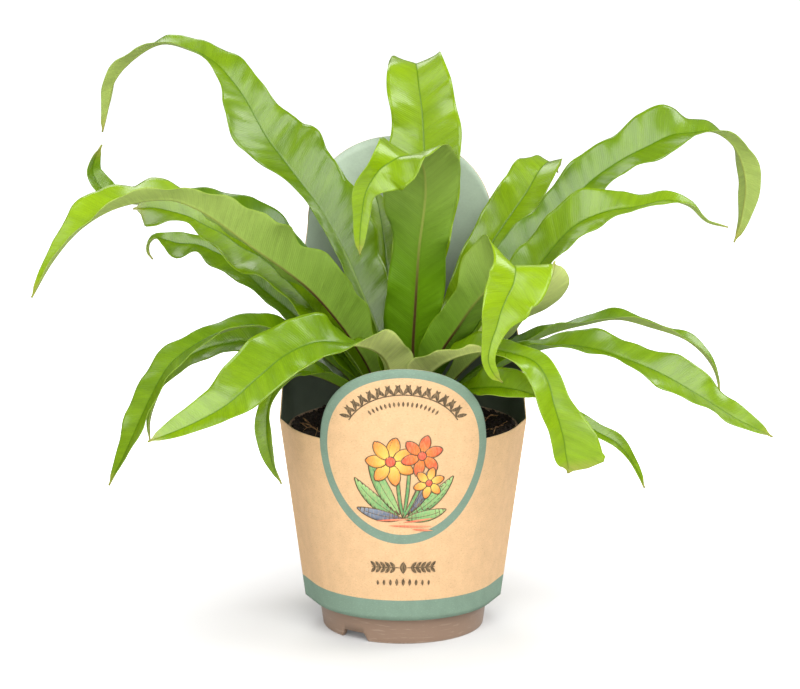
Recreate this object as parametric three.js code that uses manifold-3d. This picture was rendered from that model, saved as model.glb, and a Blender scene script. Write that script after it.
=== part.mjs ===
// A potted strap-leaved fern: tapered plastic pot, flat-folded card sleeve with a round tab
// in front and a tall round panel behind, soil, leaf crown and arching fronds.
// Millimetres, Z up. The round tab faces -Y. The origin is the middle of the underside
// of the whole plant's bounding box.
import * as THREE from 'three';
import { mergeVertices } from 'three/addons/utils/BufferGeometryUtils.js';
import Module from 'manifold-3d';

const GAP = 0.3;
const TURN = Math.PI / 180;

// Everything below is placed from the middle of the pot's foot; angles and turns are in degrees.

// Pot
const POT_HEIGHT = 105;
const POT_BASE_RADIUS = 41.5;
const POT_TAPER = 0.145;
const POT_WALL = 1.2;
const POT_FLOOR_UNDER = 4.8;
const POT_FLOOR_TOP = 6.0;
const FOOT_RING_WIDTH = 2.2;
const RIM_BOTTOM = 98.8;
const RIM_TOP_RADIUS = 59.1;
const RIM_BOTTOM_RADIUS = 58.2;
const RIM_WALL = 1.6;
const NOTCH_ANGLES = [-127, 40, 125];
const NOTCH_TOP_WIDTH = 12;
const NOTCH_FOOT_WIDTH = 17;
const NOTCH_HEIGHT = 4.4;
const NOTCH_DEPTH = 12;
const NOTCH_FLARE = 0.4;
const EDGE_BEVEL = 0.5;
const WALL_BEVEL = 0.6;
const FLOOR_BEVEL = 1.5;
const ROUND_STEPS = 60;

// Card sleeve
const SLEEVE_CARD = 0.8;
const SLEEVE_BOTTOM = 14;
const SLEEVE_SHOULDER = 108;
const SLEEVE_RADIUS = 60.8;
const SLEEVE_TAPER = 0.145;
const CREASE_BOTTOM = 50.8;
const CREASE_SHOULDER = 63.6;
const TAB_RADIUS = 46;
const TAB_CENTRE = 102;
const TAB_STEPS = 11;
const SHOULDER_TURNS = [90, 84, 78, 72, 65, 58, 51];
const PANEL_HALF_TURN = 42;
const PANEL_TWIST = 2.5;
const PANEL_CENTRE = 192;
const PANEL_RISE = 52;
const PANEL_SWEEP = 82;
const PANEL_STEPS = 13;
// The lower part of the panel's edge, as [turn from the middle of the back, height].
const PANEL_SIDE = [[90, 108], [83, 119], [76, 130], [70, 140], [63, 151], [56, 163], [50, 175], [45, 187]];
const SLEEVE_ROWS = 3;

// Soil and crown
const SOIL_LEVEL = 94;
const SOIL_BANK = 101.8;
const SOIL_RIPPLE = 1.1;
const HOLLOW_WIDTH = 6;
const SLOPE_MIDDLE = 13;
const SLOPE_WIDTH = 20;
const RIPPLE_WIDTH = 25;
const CROWN_RADIUS = 27;
const CROWN_BOTTOM = 80;
const CROWN_TOP = 106;
const CROWN_DROP = 12;
// The radii at which the crown's dome has a row of corners.
const CROWN_RINGS = [CROWN_RADIUS, 23, 19, 15, 10, 5, 0];

// Fronds
const BLADE = 0.8;
const RIB = 1.6;
const STALK = 3.4;
const STALK_EDGE = 1.5;
const ROOT_HALF = 2;
const STALK_DEPTH = 6;
const STALK_HOLE_RADIUS = 3.1;
const STALK_HOLE_ABOVE = 12;
const STALK_HOLE_SIDES = 12;
const STALK_BLEND = 38;
const ROW_STEP = 10;
const ACROSS = [-1, -0.5, 0, 0.5, 1];
const FOLD_BASE = 20;
const FOLD_REACH = 60;
const WAVE = 4.6;
const WAVE_LENGTH = 47;
const WAVE_START = 35;
const WAVE_END = 30;
const WAVE_HALF = 15;
const WAVE_LAG = 2.3;
const WAVE_PHASE = 1.7;
const LEAST_HALF = 0.8;
const LEAST_ROWS = 8;
// How far ahead and behind a frond's curve is read for its direction.
const GLANCE = 0.5;

// The camera that the fronds' points are read through. It looks along +Y and down by its drop. Its
// place is in millimetres, its focal length and the middle of its 800 x 689 picture in pixels.
const CAMERA_PLACE = [-1.6, -1434.5, 438.6];
const CAMERA_DROP = 11.5 * TURN;
const FOCAL_LENGTH = 2860;
const PICTURE_MIDDLE = [400, 344.5];

// A frond starts at its root, [x, y] on the crown. Each point after it is [across, down, y, roll in
// degrees, left half, right half]: the pixel at which the midrib is seen, its depth and the half
// widths. With no last number both halves are alike. Roll 0 keeps the blade level across its own
// direction of growth, and the azimuth is that direction, seen from above. The wave scales how much
// the edges wave, and the fold is how far each half leans up from the midrib, in degrees.
const FRONDS = [
  {
    name: 'frond_upper_left_arch',
    azimuth: 155,
    wave: 0.35,
    fold: 20,
    root: [-9, 4],
    seen: [
      [388, 385, 7, -25, 5], [380, 340, 12, -30, 10, 11], [364, 298, 20, -32, 8, 15],
      [343, 250, 28, -34, 7, 19], [322, 211, 35, -36, 6, 21], [302, 184, 41, -37, 7, 22],
      [284, 162, 46, -38, 13, 22], [268, 138, 52, -38, 20, 20], [256, 119, 56, -38, 21, 15],
      [244, 98, 61, -34, 17, 12], [232, 80, 65, -26, 10, 12], [214, 63, 69, -16, 7, 12],
      [193, 50, 74, -10, 6, 10], [162, 44, 81, -2, 6.5, 7.5], [131, 60, 88, 0, 7.5],
      [113, 82, 92, 4, 7], [109, 103, 94, 3, 5], [106, 119, 95, 0, 3], [101, 131, 96, 0, 1],
    ],
  },
  {
    name: 'frond_inner_left',
    azimuth: 110,
    wave: 1,
    fold: 20,
    root: [-3, 12],
    seen: [
      [394, 385, 17, 0, 4], [391, 335, 27, 5, 8], [388, 285, 37, 5, 9], [384, 240, 45, 0, 9],
      [378, 205, 50, 0, 5], [373, 188, 52, 0, 1],
    ],
  },
  {
    name: 'frond_left_long',
    azimuth: 205,
    wave: 0.45,
    fold: 32,
    root: [-9, -5],
    seen: [
      [376, 380, -10, 0, 5], [356, 344, -17, 15, 11], [334, 314, -25, 30, 16, 14],
      [308, 288, -33, 38, 20, 14], [282, 267, -40, 38, 14, 13], [257, 249, -47, 38, 20.5, 13],
      [222, 224, -56, 32, 13, 12], [196, 208, -63, 20, 12], [172, 199, -67, 10, 11.5, 17.5],
      [140, 201, -73, 4, 10.5, 17], [108, 210, -78, 0, 9.5, 14], [78, 231, -83, -5, 8, 10],
      [52, 262, -87, -5, 5], [31, 297, -90, 0, 1],
    ],
  },
  {
    name: 'frond_left_bright',
    azimuth: 180,
    wave: 0.4,
    fold: 20,
    root: [-16, -1],
    seen: [
      [366, 384, -3, -20, 5], [342, 345, -8, -34, 10], [318, 316, -12, -42, 13],
      [290, 284, -16, -46, 13], [262, 259, -20, -48, 14], [242, 247, -23, -48, 17, 13],
      [222, 235, -25, -46, 14, 12], [204, 225, -27, -44, 15, 11], [190, 218, -28, -38, 6, 11],
      [172, 211, -29, -38, 9, 10], [156, 208, -30, -42, 17, 8], [144, 208, -30, -44, 14, 5],
      [134, 209, -31, -30, 1],
    ],
  },
  {
    name: 'frond_centre_front',
    azimuth: -90,
    wave: 0.6,
    fold: 20,
    root: [2, -6],
    seen: [
      [412, 390, -12, 0, 6], [414, 345, -18, 0, 12, 15.5], [416, 310, -22, 0, 15, 17],
      [418, 275, -26, 0, 16, 15], [420, 245, -30, 0, 15, 14.5], [423, 215, -34, 0, 17, 21],
      [425, 190, -38, 0, 18, 24], [424, 168, -45, 0, 18.5, 23], [416, 156, -54, 0, 17, 20],
      [402, 156, -62, -12, 16, 16], [390, 162, -66, -28, 15.5, 12], [378, 172, -69, -30, 13.5, 9],
      [366, 192, -70, 5, 5.5, 6.5], [361, 214, -70, 5, 4.5], [360, 236, -70, 0, 3],
      [360, 255, -70, 0, 1],
    ],
  },
  {
    name: 'frond_centre_back',
    azimuth: 90,
    wave: 0.6,
    fold: 20,
    root: [2, 5],
    seen: [
      [411, 380, 8, 0, 5], [414, 330, 12, 0, 10], [417, 270, 17, 0, 14], [422, 210, 23, 0, 17, 19],
      [425, 160, 30, 0, 20, 20], [422, 115, 37, 0, 17.5, 20], [419, 82, 45, 0, 18, 16.5],
      [416, 66, 55, 0, 15.5, 13.5], [417, 64, 68, 0, 12], [416, 76, 80, 0, 8], [415, 102, 88, 0, 1],
    ],
  },
  {
    name: 'frond_left_back',
    azimuth: 168,
    wave: 0.5,
    fold: 20,
    root: [-14, 9],
    seen: [
      [370, 378, 13, -15, 5], [344, 330, 20, -25, 9], [315, 284, 27, -28, 10],
      [282, 243, 33, -28, 10], [246, 213, 38, -22, 10.5], [208, 201, 42, -15, 9],
      [170, 201, 44, -10, 8], [132, 203, 46, -12, 8], [106, 194, 47, -22, 7],
      [94, 174, 48, -32, 5.5], [94, 158, 49, -30, 3.5], [102, 145, 49, -30, 1],
    ],
  },
  {
    name: 'frond_left_hook',
    azimuth: 178,
    wave: 0.45,
    fold: 20,
    root: [-20, 6],
    seen: [
      [358, 386, 10, -15, 4], [328, 350, 16, -25, 9], [296, 318, 20, -32, 12],
      [262, 288, 22, -36, 12.5, 11], [232, 261, 22, -38, 13, 9], [212, 250, 21.5, -40, 13.5, 7],
      [197, 245, 21, -40, 9.5, 6], [178, 243, 20, -42, 15, 6], [164, 239, 19.5, -34, 8, 4],
      [154, 238.5, 19, -10, 3], [148, 243, 18, 0, 2.5], [148, 254, 17, 0, 2], [153, 260, 16, 0, 1],
    ],
  },
  {
    name: 'frond_front_left',
    azimuth: 212,
    wave: 0.5,
    fold: 20,
    root: [-8, -14],
    seen: [
      [394, 394, -25, 10, 6], [388, 363, -36, 20, 14], [371, 348, -49, 22, 15],
      [344, 343, -62, -15, 12], [314, 343, -75, -42, 12, 14], [284, 356, -87, -50, 13, 16],
      [256, 379, -97, -50, 12, 15.5], [226, 404, -105, -45, 10, 12.5], [198, 422, -111, -40, 7, 9],
      [170, 434, -115, -35, 4, 5], [147, 442, -118, -30, 1],
    ],
  },
  {
    name: 'frond_outer_left',
    azimuth: 188,
    wave: 0.3,
    fold: 20,
    root: [-23, -5],
    seen: [
      [358, 390, -11, 0, 4], [325, 356, -19, -6, 8], [290, 336, -25, -8, 9],
      [255, 325, -31, -10, 10, 9], [222, 331, -37, -14, 10, 7.5], [194, 345, -43, -22, 9.5, 7],
      [169, 366, -48, -30, 9.5], [150, 397, -53, -32, 9.5], [134, 432, -57, -30, 7.5],
      [121, 463, -59, -24, 4.5], [108, 486, -61, -15, 1],
    ],
  },
  {
    name: 'frond_low_left',
    azimuth: 180,
    wave: 0.4,
    fold: 20,
    root: [-24, 2],
    seen: [
      [352, 396, 2, 0, 4], [318, 362, 1, -15, 9], [284, 345, -1, -25, 11],
      [250, 342, -3, -32, 12, 10], [222, 345, -6, -36, 13, 9], [198, 352, -9, -38, 12, 8],
      [179, 364, -12, -36, 9, 7], [165, 381, -15, -32, 6, 5], [154, 402, -18, -24, 3.5],
      [149, 422, -20, -16, 2.5], [149, 441, -21, -10, 1],
    ],
  },
  {
    name: 'frond_hanging_left',
    azimuth: 198,
    wave: 1,
    fold: 20,
    root: [-20, -13],
    seen: [
      [360, 402, -20, 0, 4], [328, 378, -29, 0, 6], [298, 372, -37, -10, 7],
      [278, 384, -43, -22, 7], [269, 405, -45, -28, 6.5], [266, 430, -47, -28, 5.5],
      [271, 458, -49, -22, 4.5], [281, 485, -51, -10, 1],
    ],
  },
  {
    name: 'frond_front_right',
    azimuth: -38,
    wave: 0.4,
    fold: 24,
    root: [-1, -17],
    seen: [
      [418, 398, -29, 0, 6], [432, 372, -40, 0, 12], [452, 357, -49, 5, 13, 14],
      [482, 350, -59, 12, 10, 14], [510, 353, -67, 22, 7, 13], [534, 363, -74, 32, 6, 11],
      [547, 381, -80, 42, 7, 10], [555, 405, -84, 48, 9, 9], [561, 426, -85, 50, 14, 7],
      [564, 441, -85, 50, 18, 7], [566, 456, -85, 50, 19, 6.5], [567, 466, -85, 50, 18, 4.5],
      [567, 473, -85, 50, 1],
    ],
  },
  {
    name: 'frond_small_right',
    azimuth: -45,
    wave: 1,
    fold: 20,
    root: [4, -23],
    seen: [
      [424, 406, -30, 0, 4], [444, 397, -35, 14, 5], [466, 390, -41, 26, 5, 3],
      [490, 387, -53, 46, 9, 7.5], [512, 388, -61, 46, 10.5, 8.5], [528, 392, -66, 36, 6, 5],
      [540, 398, -69, 25, 1],
    ],
  },
  {
    name: 'frond_folded_right',
    azimuth: -85,
    wave: 0.4,
    fold: 20,
    root: [9, -9],
    seen: [
      [427, 386, -20, 0, 6], [441, 352, -29, 0, 11, 12], [457, 327, -37, 0, 12, 11],
      [475, 303, -46, 0, 14, 12], [493, 282, -56, -14, 15, 19], [508, 267, -66, -24, 18, 18],
      [515, 268, -75, -20, 18, 13.5], [513, 284, -80, -8, 17, 15], [508, 297, -82, 0, 13.5, 13],
      [502, 311, -84, 0, 12.5, 10.5], [497, 327, -85, 0, 6.5, 8.5], [491, 345, -86, 0, 4, 5],
      [489, 362, -86, 0, 3.4], [494, 376, -85, 0, 2.6], [503, 382, -84, 0, 1],
    ],
  },
  {
    name: 'frond_short_right',
    azimuth: -25,
    wave: 0.4,
    fold: 16,
    root: [15, -12],
    seen: [
      [440, 396, -19, 0, 5], [466, 366, -24, -12, 9], [498, 337, -28, -24, 12.5],
      [526, 311, -30, -32, 16, 14], [543, 291, -31, -34, 19, 15], [552, 274, -33, -28, 13, 11],
      [555, 261, -34, 0, 1],
    ],
  },
  {
    name: 'frond_tail_right',
    azimuth: -30,
    wave: 1,
    fold: 20,
    root: [11, -21],
    seen: [
      [440, 406, -26, 0, 4], [470, 393, -32, 5, 6], [505, 386, -38, 10, 7], [540, 394, -44, 15, 6],
      [570, 413, -50, 20, 5], [594, 431, -53, 24, 4], [617, 444, -55, 24, 4],
      [634, 464, -56, 15, 3], [645, 488, -58, 10, 1],
    ],
  },
  {
    name: 'frond_upper_right_arch',
    azimuth: 22,
    wave: 0.45,
    fold: 20,
    root: [13, 4],
    seen: [
      [436, 380, 7, 15, 5], [462, 336, 11, 25, 10], [492, 294, 15, 32, 12], [524, 254, 20, 36, 13],
      [556, 219, 27, 36, 13, 13], [588, 184, 34, 38, 13.5, 12], [620, 161, 41, 40, 14.5, 11],
      [648, 145, 46, 40, 16, 13], [672, 136, 50, 34, 17, 13], [692, 132, 53, 24, 12, 11],
      [716, 132, 57, 8, 10], [736, 148, 60, -10, 9], [746, 180, 62, -20, 8], [743, 214, 63, -20, 5],
      [735, 242, 64, -10, 1],
    ],
  },
  {
    name: 'frond_mid_right',
    azimuth: 4,
    wave: 0.5,
    fold: 20,
    root: [18, -3],
    seen: [
      [446, 392, -4, 10, 5], [476, 352, -6, 20, 9], [508, 310, -8, 28, 12],
      [540, 266, -7, 34, 14, 16], [572, 229, -7, 36, 15, 13], [604, 213, -6, 34, 13, 12],
      [638, 206, -5, 26, 9, 8], [668, 200, -4, 16, 6], [690, 205, -3, 5, 5], [708, 221, -2, 0, 2.5],
      [728, 226, -1, 0, 1],
    ],
  },
  {
    name: 'frond_back_right',
    azimuth: 62,
    wave: 0.4,
    fold: 20,
    root: [8, 12],
    seen: [
      [432, 374, 18, 10, 5], [453, 322, 27, 18, 9], [472, 281, 34, 22, 11],
      [492, 245, 40, 24, 13, 12], [510, 216, 46, 24, 14, 11.5], [526, 191, 52, 22, 14, 11],
      [538, 173, 59, 16, 13, 11], [546, 162, 68, 5, 9, 9], [552, 162, 77, 0, 6],
      [558, 172, 84, 0, 1],
    ],
  },
  {
    name: 'frond_thin_right',
    azimuth: -2,
    wave: 0.6,
    fold: 20,
    root: [23, 0],
    seen: [
      [456, 396, 0, 0, 4], [488, 368, -1, 5, 6], [518, 348, -3, 4, 7], [550, 333, -5, 0, 7.5],
      [584, 323, -7, 0, 7.5], [618, 319, -8, 0, 7], [652, 326, -9, 0, 6.5], [684, 338, -9, 0, 6],
      [703, 354, -9, 4, 5], [715, 371, -9, 5, 3], [720, 391, -9, 0, 1],
    ],
  },
  {
    name: 'frond_long_right',
    azimuth: -12,
    wave: 0.6,
    fold: 20,
    root: [22, -9],
    seen: [
      [456, 404, -13, 0, 4], [488, 374, -19, 6, 8], [520, 356, -24, 8, 9], [554, 346, -29, 10, 10],
      [590, 347, -34, 16, 10.5], [626, 359, -38, 26, 11], [662, 375, -41, 32, 12],
      [698, 395, -44, 32, 11.5], [730, 416, -46, 30, 8.5], [754, 429, -48, 25, 5],
      [773, 437, -49, 20, 1],
    ],
  },
];

const COLOURS = {
  pot: { color: 0xa58a78, roughness: 0.55 },
  card_sleeve: { color: 0xdfc29b, roughness: 0.85 },
  soil: { color: 0x2e2118, roughness: 1.0 },
  crown: { color: 0x4a3a22, roughness: 0.95 },
  frond: { color: 0x7fb52a, roughness: 0.45 },
};

const wasm = await Module();
wasm.setup();

function material(kind) {
  const look = COLOURS[kind];
  return new THREE.MeshStandardMaterial({ color: look.color, roughness: look.roughness, metalness: 0 });
}

function plainGeometry(positions, indices) {
  const geometry = new THREE.BufferGeometry();
  geometry.setAttribute('position', new THREE.Float32BufferAttribute(positions, 3));
  geometry.setIndex(indices);
  return geometry;
}

function toSolid(geometry) {
  const bare = new THREE.BufferGeometry();
  bare.setAttribute('position', geometry.getAttribute('position').clone());
  bare.setIndex(geometry.getIndex().clone());
  const joined = mergeVertices(bare, 1e-4);
  return new wasm.Manifold(new wasm.Mesh({
    numProp: 3,
    vertProperties: new Float32Array(joined.getAttribute('position').array),
    triVerts: new Uint32Array(joined.getIndex().array),
  }));
}

function fromSolid(solid) {
  const mesh = solid.getMesh();
  const positions = [];
  for (let i = 0; i < mesh.vertProperties.length; i += mesh.numProp) {
    positions.push(mesh.vertProperties[i], mesh.vertProperties[i + 1], mesh.vertProperties[i + 2]);
  }
  return plainGeometry(positions, Array.from(mesh.triVerts));
}

function named(name, geometry, kind) {
  const mesh = new THREE.Mesh(geometry, material(kind));
  mesh.name = name;
  return mesh;
}

// Turns a profile of [radius, height] pairs about Z.
function turned(profile) {
  const points = profile.map(([radius, height]) => new THREE.Vector2(radius, height));
  const geometry = new THREE.LatheGeometry(points, ROUND_STEPS);
  geometry.rotateX(90 * TURN);
  return geometry;
}

function potWall(z) {
  return POT_BASE_RADIUS + POT_TAPER * z;
}

function buildPot() {
  const inner = (z) => potWall(z) - POT_WALL;
  const body = toSolid(turned([
    [0, POT_FLOOR_UNDER],
    [POT_BASE_RADIUS - FOOT_RING_WIDTH, POT_FLOOR_UNDER],
    [POT_BASE_RADIUS - FOOT_RING_WIDTH, 0],
    [POT_BASE_RADIUS - EDGE_BEVEL, 0],
    [potWall(WALL_BEVEL), WALL_BEVEL],
    [potWall(RIM_BOTTOM - WALL_BEVEL), RIM_BOTTOM - WALL_BEVEL],
    [RIM_BOTTOM_RADIUS, RIM_BOTTOM],
    [RIM_TOP_RADIUS, POT_HEIGHT - EDGE_BEVEL],
    [RIM_TOP_RADIUS - EDGE_BEVEL, POT_HEIGHT],
    [RIM_TOP_RADIUS - RIM_WALL, POT_HEIGHT],
    [RIM_BOTTOM_RADIUS - RIM_WALL, RIM_BOTTOM + 1],
    [inner(RIM_BOTTOM - 1), RIM_BOTTOM - 1],
    [inner(POT_FLOOR_TOP + FLOOR_BEVEL), POT_FLOOR_TOP + FLOOR_BEVEL],
    [inner(POT_FLOOR_TOP) - FLOOR_BEVEL, POT_FLOOR_TOP],
    [0, POT_FLOOR_TOP],
  ]));
  return NOTCH_ANGLES.reduce((solid, angle) => solid.subtract(notch(angle)), body);
}

// A wedge that opens the foot ring, wider at the table than at its top.
function notch(angle) {
  const foot = NOTCH_FOOT_WIDTH / 2;
  const top = NOTCH_TOP_WIDTH / 2;
  const shape = new THREE.Shape([
    new THREE.Vector2(-foot - NOTCH_FLARE, -1),
    new THREE.Vector2(foot + NOTCH_FLARE, -1),
    new THREE.Vector2(top, NOTCH_HEIGHT),
    new THREE.Vector2(-top, NOTCH_HEIGHT),
  ]);
  const geometry = new THREE.ExtrudeGeometry(shape, { depth: NOTCH_DEPTH, bevelEnabled: false });
  geometry.rotateX(90 * TURN);
  geometry.translate(0, -POT_BASE_RADIUS + NOTCH_DEPTH / 2, 0);
  geometry.rotateZ((angle + 90) * TURN);
  return toSolid(indexed(geometry));
}

function indexed(geometry) {
  if (geometry.getIndex()) {
    return geometry;
  }
  const count = geometry.getAttribute('position').count;
  geometry.setIndex(Array.from({ length: count }, (unused, i) => i));
  return geometry;
}

// Distance from the axis to the card at a polar angle: round in front and behind,
// straight from the round part out to the two side creases.
function sleeveReach(angle, z, inset) {
  const radius = SLEEVE_RADIUS + (z - SLEEVE_SHOULDER) * SLEEVE_TAPER;
  const rise = (z - SLEEVE_BOTTOM) / (SLEEVE_SHOULDER - SLEEVE_BOTTOM);
  const crease = CREASE_BOTTOM + (CREASE_SHOULDER - CREASE_BOTTOM) * rise;
  const touch = Math.acos(Math.min(radius / crease, 1));
  const fromCrease = Math.abs(Math.asin(Math.sin(angle)));
  const bend = Math.min(fromCrease - touch, 0);
  return (radius - inset) / Math.cos(bend);
}

// Columns round the sleeve as [polar angle in degrees, height of the top edge].
function sleeveColumns() {
  const reach = SLEEVE_RADIUS * TURN;
  const front = [];
  for (const turn of SHOULDER_TURNS) {
    front.push([turn, SLEEVE_SHOULDER]);
  }
  const halfTab = Math.sqrt(TAB_RADIUS ** 2 - (SLEEVE_SHOULDER - TAB_CENTRE) ** 2);
  const tabEnd = Math.asin(halfTab / TAB_RADIUS);
  for (let i = TAB_STEPS; i >= 0; i -= 1) {
    const across = TAB_RADIUS * Math.sin((tabEnd * i) / TAB_STEPS);
    front.push([across / reach, TAB_CENTRE + Math.sqrt(TAB_RADIUS ** 2 - across ** 2)]);
  }
  const back = PANEL_SIDE.slice(1);
  for (let i = PANEL_STEPS; i >= 0; i -= 1) {
    const lean = (PANEL_SWEEP * TURN * i) / PANEL_STEPS;
    back.push([PANEL_HALF_TURN * Math.sin(lean), PANEL_CENTRE + PANEL_RISE * Math.cos(lean)]);
  }
  const columns = front.map(([turn, top]) => [-90 - turn, top]);
  columns.push(...front.slice(0, -1).reverse().map(([turn, top]) => [-90 + turn, top]));
  const twist = (turn) => PANEL_TWIST * (1 - turn / 90);
  columns.push(...back.map(([turn, top]) => [90 - turn + twist(turn), top]));
  columns.push(...back.slice(0, -1).reverse().map(([turn, top]) => [90 + turn + twist(turn), top]));
  return columns;
}

function buildSleeve() {
  const columns = sleeveColumns();
  const positions = [];
  for (const inset of [0, SLEEVE_CARD]) {
    for (const [turn, top] of columns) {
      for (let row = 0; row <= SLEEVE_ROWS; row += 1) {
        const z = SLEEVE_BOTTOM + ((top - SLEEVE_BOTTOM) * row) / SLEEVE_ROWS;
        const reach = sleeveReach(turn * TURN, z, inset);
        positions.push(reach * Math.cos(turn * TURN), reach * Math.sin(turn * TURN), z);
      }
    }
  }
  const count = columns.length;
  const at = (side, column, row) => (side * count + (column % count)) * (SLEEVE_ROWS + 1) + row;
  const indices = [];
  const quad = (a, b, c, d) => indices.push(a, b, c, a, c, d);
  for (let column = 0; column < count; column += 1) {
    for (let row = 0; row < SLEEVE_ROWS; row += 1) {
      quad(at(0, column, row), at(0, column + 1, row), at(0, column + 1, row + 1), at(0, column, row + 1));
      quad(at(1, column, row), at(1, column, row + 1), at(1, column + 1, row + 1), at(1, column + 1, row));
    }
    const last = SLEEVE_ROWS;
    quad(at(0, column, last), at(0, column + 1, last), at(1, column + 1, last), at(1, column, last));
    quad(at(0, column, 0), at(1, column, 0), at(1, column + 1, 0), at(0, column + 1, 0));
  }
  return plainGeometry(positions, indices);
}

function soilRipple(x, y) {
  return SOIL_RIPPLE * (Math.sin(x * 0.21 + 1) * Math.cos(y * 0.19) + 0.6 * Math.sin(x * 0.11 - y * 0.33));
}

function buildSoil() {
  const outer = (z) => potWall(z) - POT_WALL - GAP;
  const hole = CROWN_RADIUS + GAP;
  const geometry = turned([
    [0, POT_FLOOR_TOP + GAP],
    [outer(POT_FLOOR_TOP) - 2, POT_FLOOR_TOP + GAP],
    [outer(POT_FLOOR_TOP + 2), POT_FLOOR_TOP + 2],
    [outer(RIM_BOTTOM - 1) - 0.1, RIM_BOTTOM - 1],
    [RIM_BOTTOM_RADIUS - RIM_WALL - GAP, SOIL_BANK - 1],
    [RIM_BOTTOM_RADIUS - RIM_WALL - 2, SOIL_BANK],
    [hole + SLOPE_WIDTH, SOIL_BANK - 0.5],
    [hole + SLOPE_MIDDLE, (SOIL_LEVEL + SOIL_BANK) / 2],
    [hole + HOLLOW_WIDTH, SOIL_LEVEL + 1],
    [hole, SOIL_LEVEL],
    [hole, CROWN_BOTTOM - GAP],
    [0, CROWN_BOTTOM - GAP],
  ]);
  const place = geometry.getAttribute('position');
  for (let i = 0; i < place.count; i += 1) {
    const radius = Math.hypot(place.getX(i), place.getY(i));
    const isOnTop = place.getZ(i) > SOIL_LEVEL - 1;
    const isSurface = isOnTop && radius > hole + 1 && radius < hole + RIPPLE_WIDTH;
    if (isSurface) {
      place.setZ(i, place.getZ(i) + soilRipple(place.getX(i), place.getY(i)));
    }
  }
  return geometry;
}

function crownHeight(radius) {
  return CROWN_TOP - CROWN_DROP * (radius / CROWN_RADIUS) ** 2;
}

function buildCrown(fronds) {
  const profile = [[0, CROWN_BOTTOM], [CROWN_RADIUS, CROWN_BOTTOM]];
  for (const radius of CROWN_RINGS) {
    profile.push([radius, crownHeight(radius)]);
  }
  const body = toSolid(turned(profile));
  return fronds.reduce((solid, frond) => solid.subtract(stalkHole(frond)), body);
}

// The plain hole in which one stalk stands.
function stalkHole(frond) {
  const [start] = frond.frames;
  const middle = start.place.clone().addScaledVector(start.normal, -STALK / 2);
  const length = STALK_DEPTH + GAP + STALK_HOLE_ABOVE;
  const radius = STALK_HOLE_RADIUS;
  const geometry = new THREE.CylinderGeometry(radius, radius, length, STALK_HOLE_SIDES);
  const turn = new THREE.Quaternion().setFromUnitVectors(new THREE.Vector3(0, 1, 0), start.along);
  geometry.applyQuaternion(turn);
  middle.addScaledVector(start.along, length / 2 - STALK_DEPTH - GAP);
  geometry.translate(middle.x, middle.y, middle.z);
  return toSolid(geometry);
}

// Smooth curve through rows of numbers, spaced by the distance between their points.
function curveThrough(rows) {
  const knots = [0];
  for (let i = 1; i < rows.length; i += 1) {
    const [x, y, z] = [0, 1, 2].map((axis) => rows[i][axis] - rows[i - 1][axis]);
    knots.push(knots[i - 1] + Math.hypot(x, y, z));
  }
  const slopes = rows.map((row, i) => {
    const before = Math.max(i - 1, 0);
    const after = Math.min(i + 1, rows.length - 1);
    return row.map((value, k) => (rows[after][k] - rows[before][k]) / (knots[after] - knots[before]));
  });
  const length = knots[knots.length - 1];
  const valueAt = (distance) => {
    let i = 0;
    while (i < rows.length - 2 && distance > knots[i + 1]) {
      i += 1;
    }
    const span = knots[i + 1] - knots[i];
    const t = (distance - knots[i]) / span;
    const a = 2 * t ** 3 - 3 * t ** 2 + 1;
    const b = t ** 3 - 2 * t ** 2 + t;
    const c = 3 * t ** 2 - 2 * t ** 3;
    const d = t ** 3 - t ** 2;
    return rows[i].map((value, k) => (
      a * value + b * span * slopes[i][k] + c * rows[i + 1][k] + d * span * slopes[i + 1][k]
    ));
  };
  return { length, valueAt };
}

// The point at depth y that the camera sees at a pixel, to the nearest millimetre.
function seenPoint(across, down, y) {
  const [cameraX, cameraY, cameraZ] = CAMERA_PLACE;
  const aside = (across - PICTURE_MIDDLE[0]) / FOCAL_LENGTH;
  const above = (PICTURE_MIDDLE[1] - down) / FOCAL_LENGTH;
  const distance = (y - cameraY) / (Math.cos(CAMERA_DROP) + above * Math.sin(CAMERA_DROP));
  const climb = above * Math.cos(CAMERA_DROP) - Math.sin(CAMERA_DROP);
  return [Math.round(cameraX + distance * aside), y, Math.round(cameraZ + distance * climb)];
}

// Rows of x, y, z, roll, left half and right half, from the frond's root to its tip.
function controlPoints(frond) {
  const [rootX, rootY] = frond.root;
  const rootHeight = Math.round(crownHeight(Math.hypot(rootX, rootY)));
  const rows = [[rootX, rootY, rootHeight, 0, ROOT_HALF, ROOT_HALF]];
  for (const [across, down, y, roll, left, right = left] of frond.seen) {
    rows.push([...seenPoint(across, down, y), roll, left, right]);
  }
  return rows;
}

// Places along a frond: point, direction of growth, sideways direction, upper-side direction.
function frondFrames(frond) {
  const curve = curveThrough(controlPoints(frond));
  const count = Math.max(Math.round(curve.length / ROW_STEP), LEAST_ROWS);
  const level = new THREE.Vector3(Math.sin(frond.azimuth * TURN), -Math.cos(frond.azimuth * TURN), 0);
  const frames = [];
  for (let i = 0; i <= count; i += 1) {
    const distance = (curve.length * i) / count;
    const row = curve.valueAt(distance);
    const ahead = new THREE.Vector3(...curve.valueAt(Math.min(distance + GLANCE, curve.length)));
    const behind = new THREE.Vector3(...curve.valueAt(Math.max(distance - GLANCE, 0)));
    const along = ahead.sub(behind).normalize();
    const side = level.clone().addScaledVector(along, -level.dot(along)).normalize();
    side.applyAxisAngle(along, row[3] * TURN);
    const normal = new THREE.Vector3().crossVectors(side, along);
    const place = new THREE.Vector3(row[0], row[1], row[2]);
    const left = Math.max(row[4], LEAST_HALF);
    const right = Math.max(row[5], LEAST_HALF);
    frames.push({ place, along, side, normal, distance, left, right, length: curve.length });
  }
  return frames;
}

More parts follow.
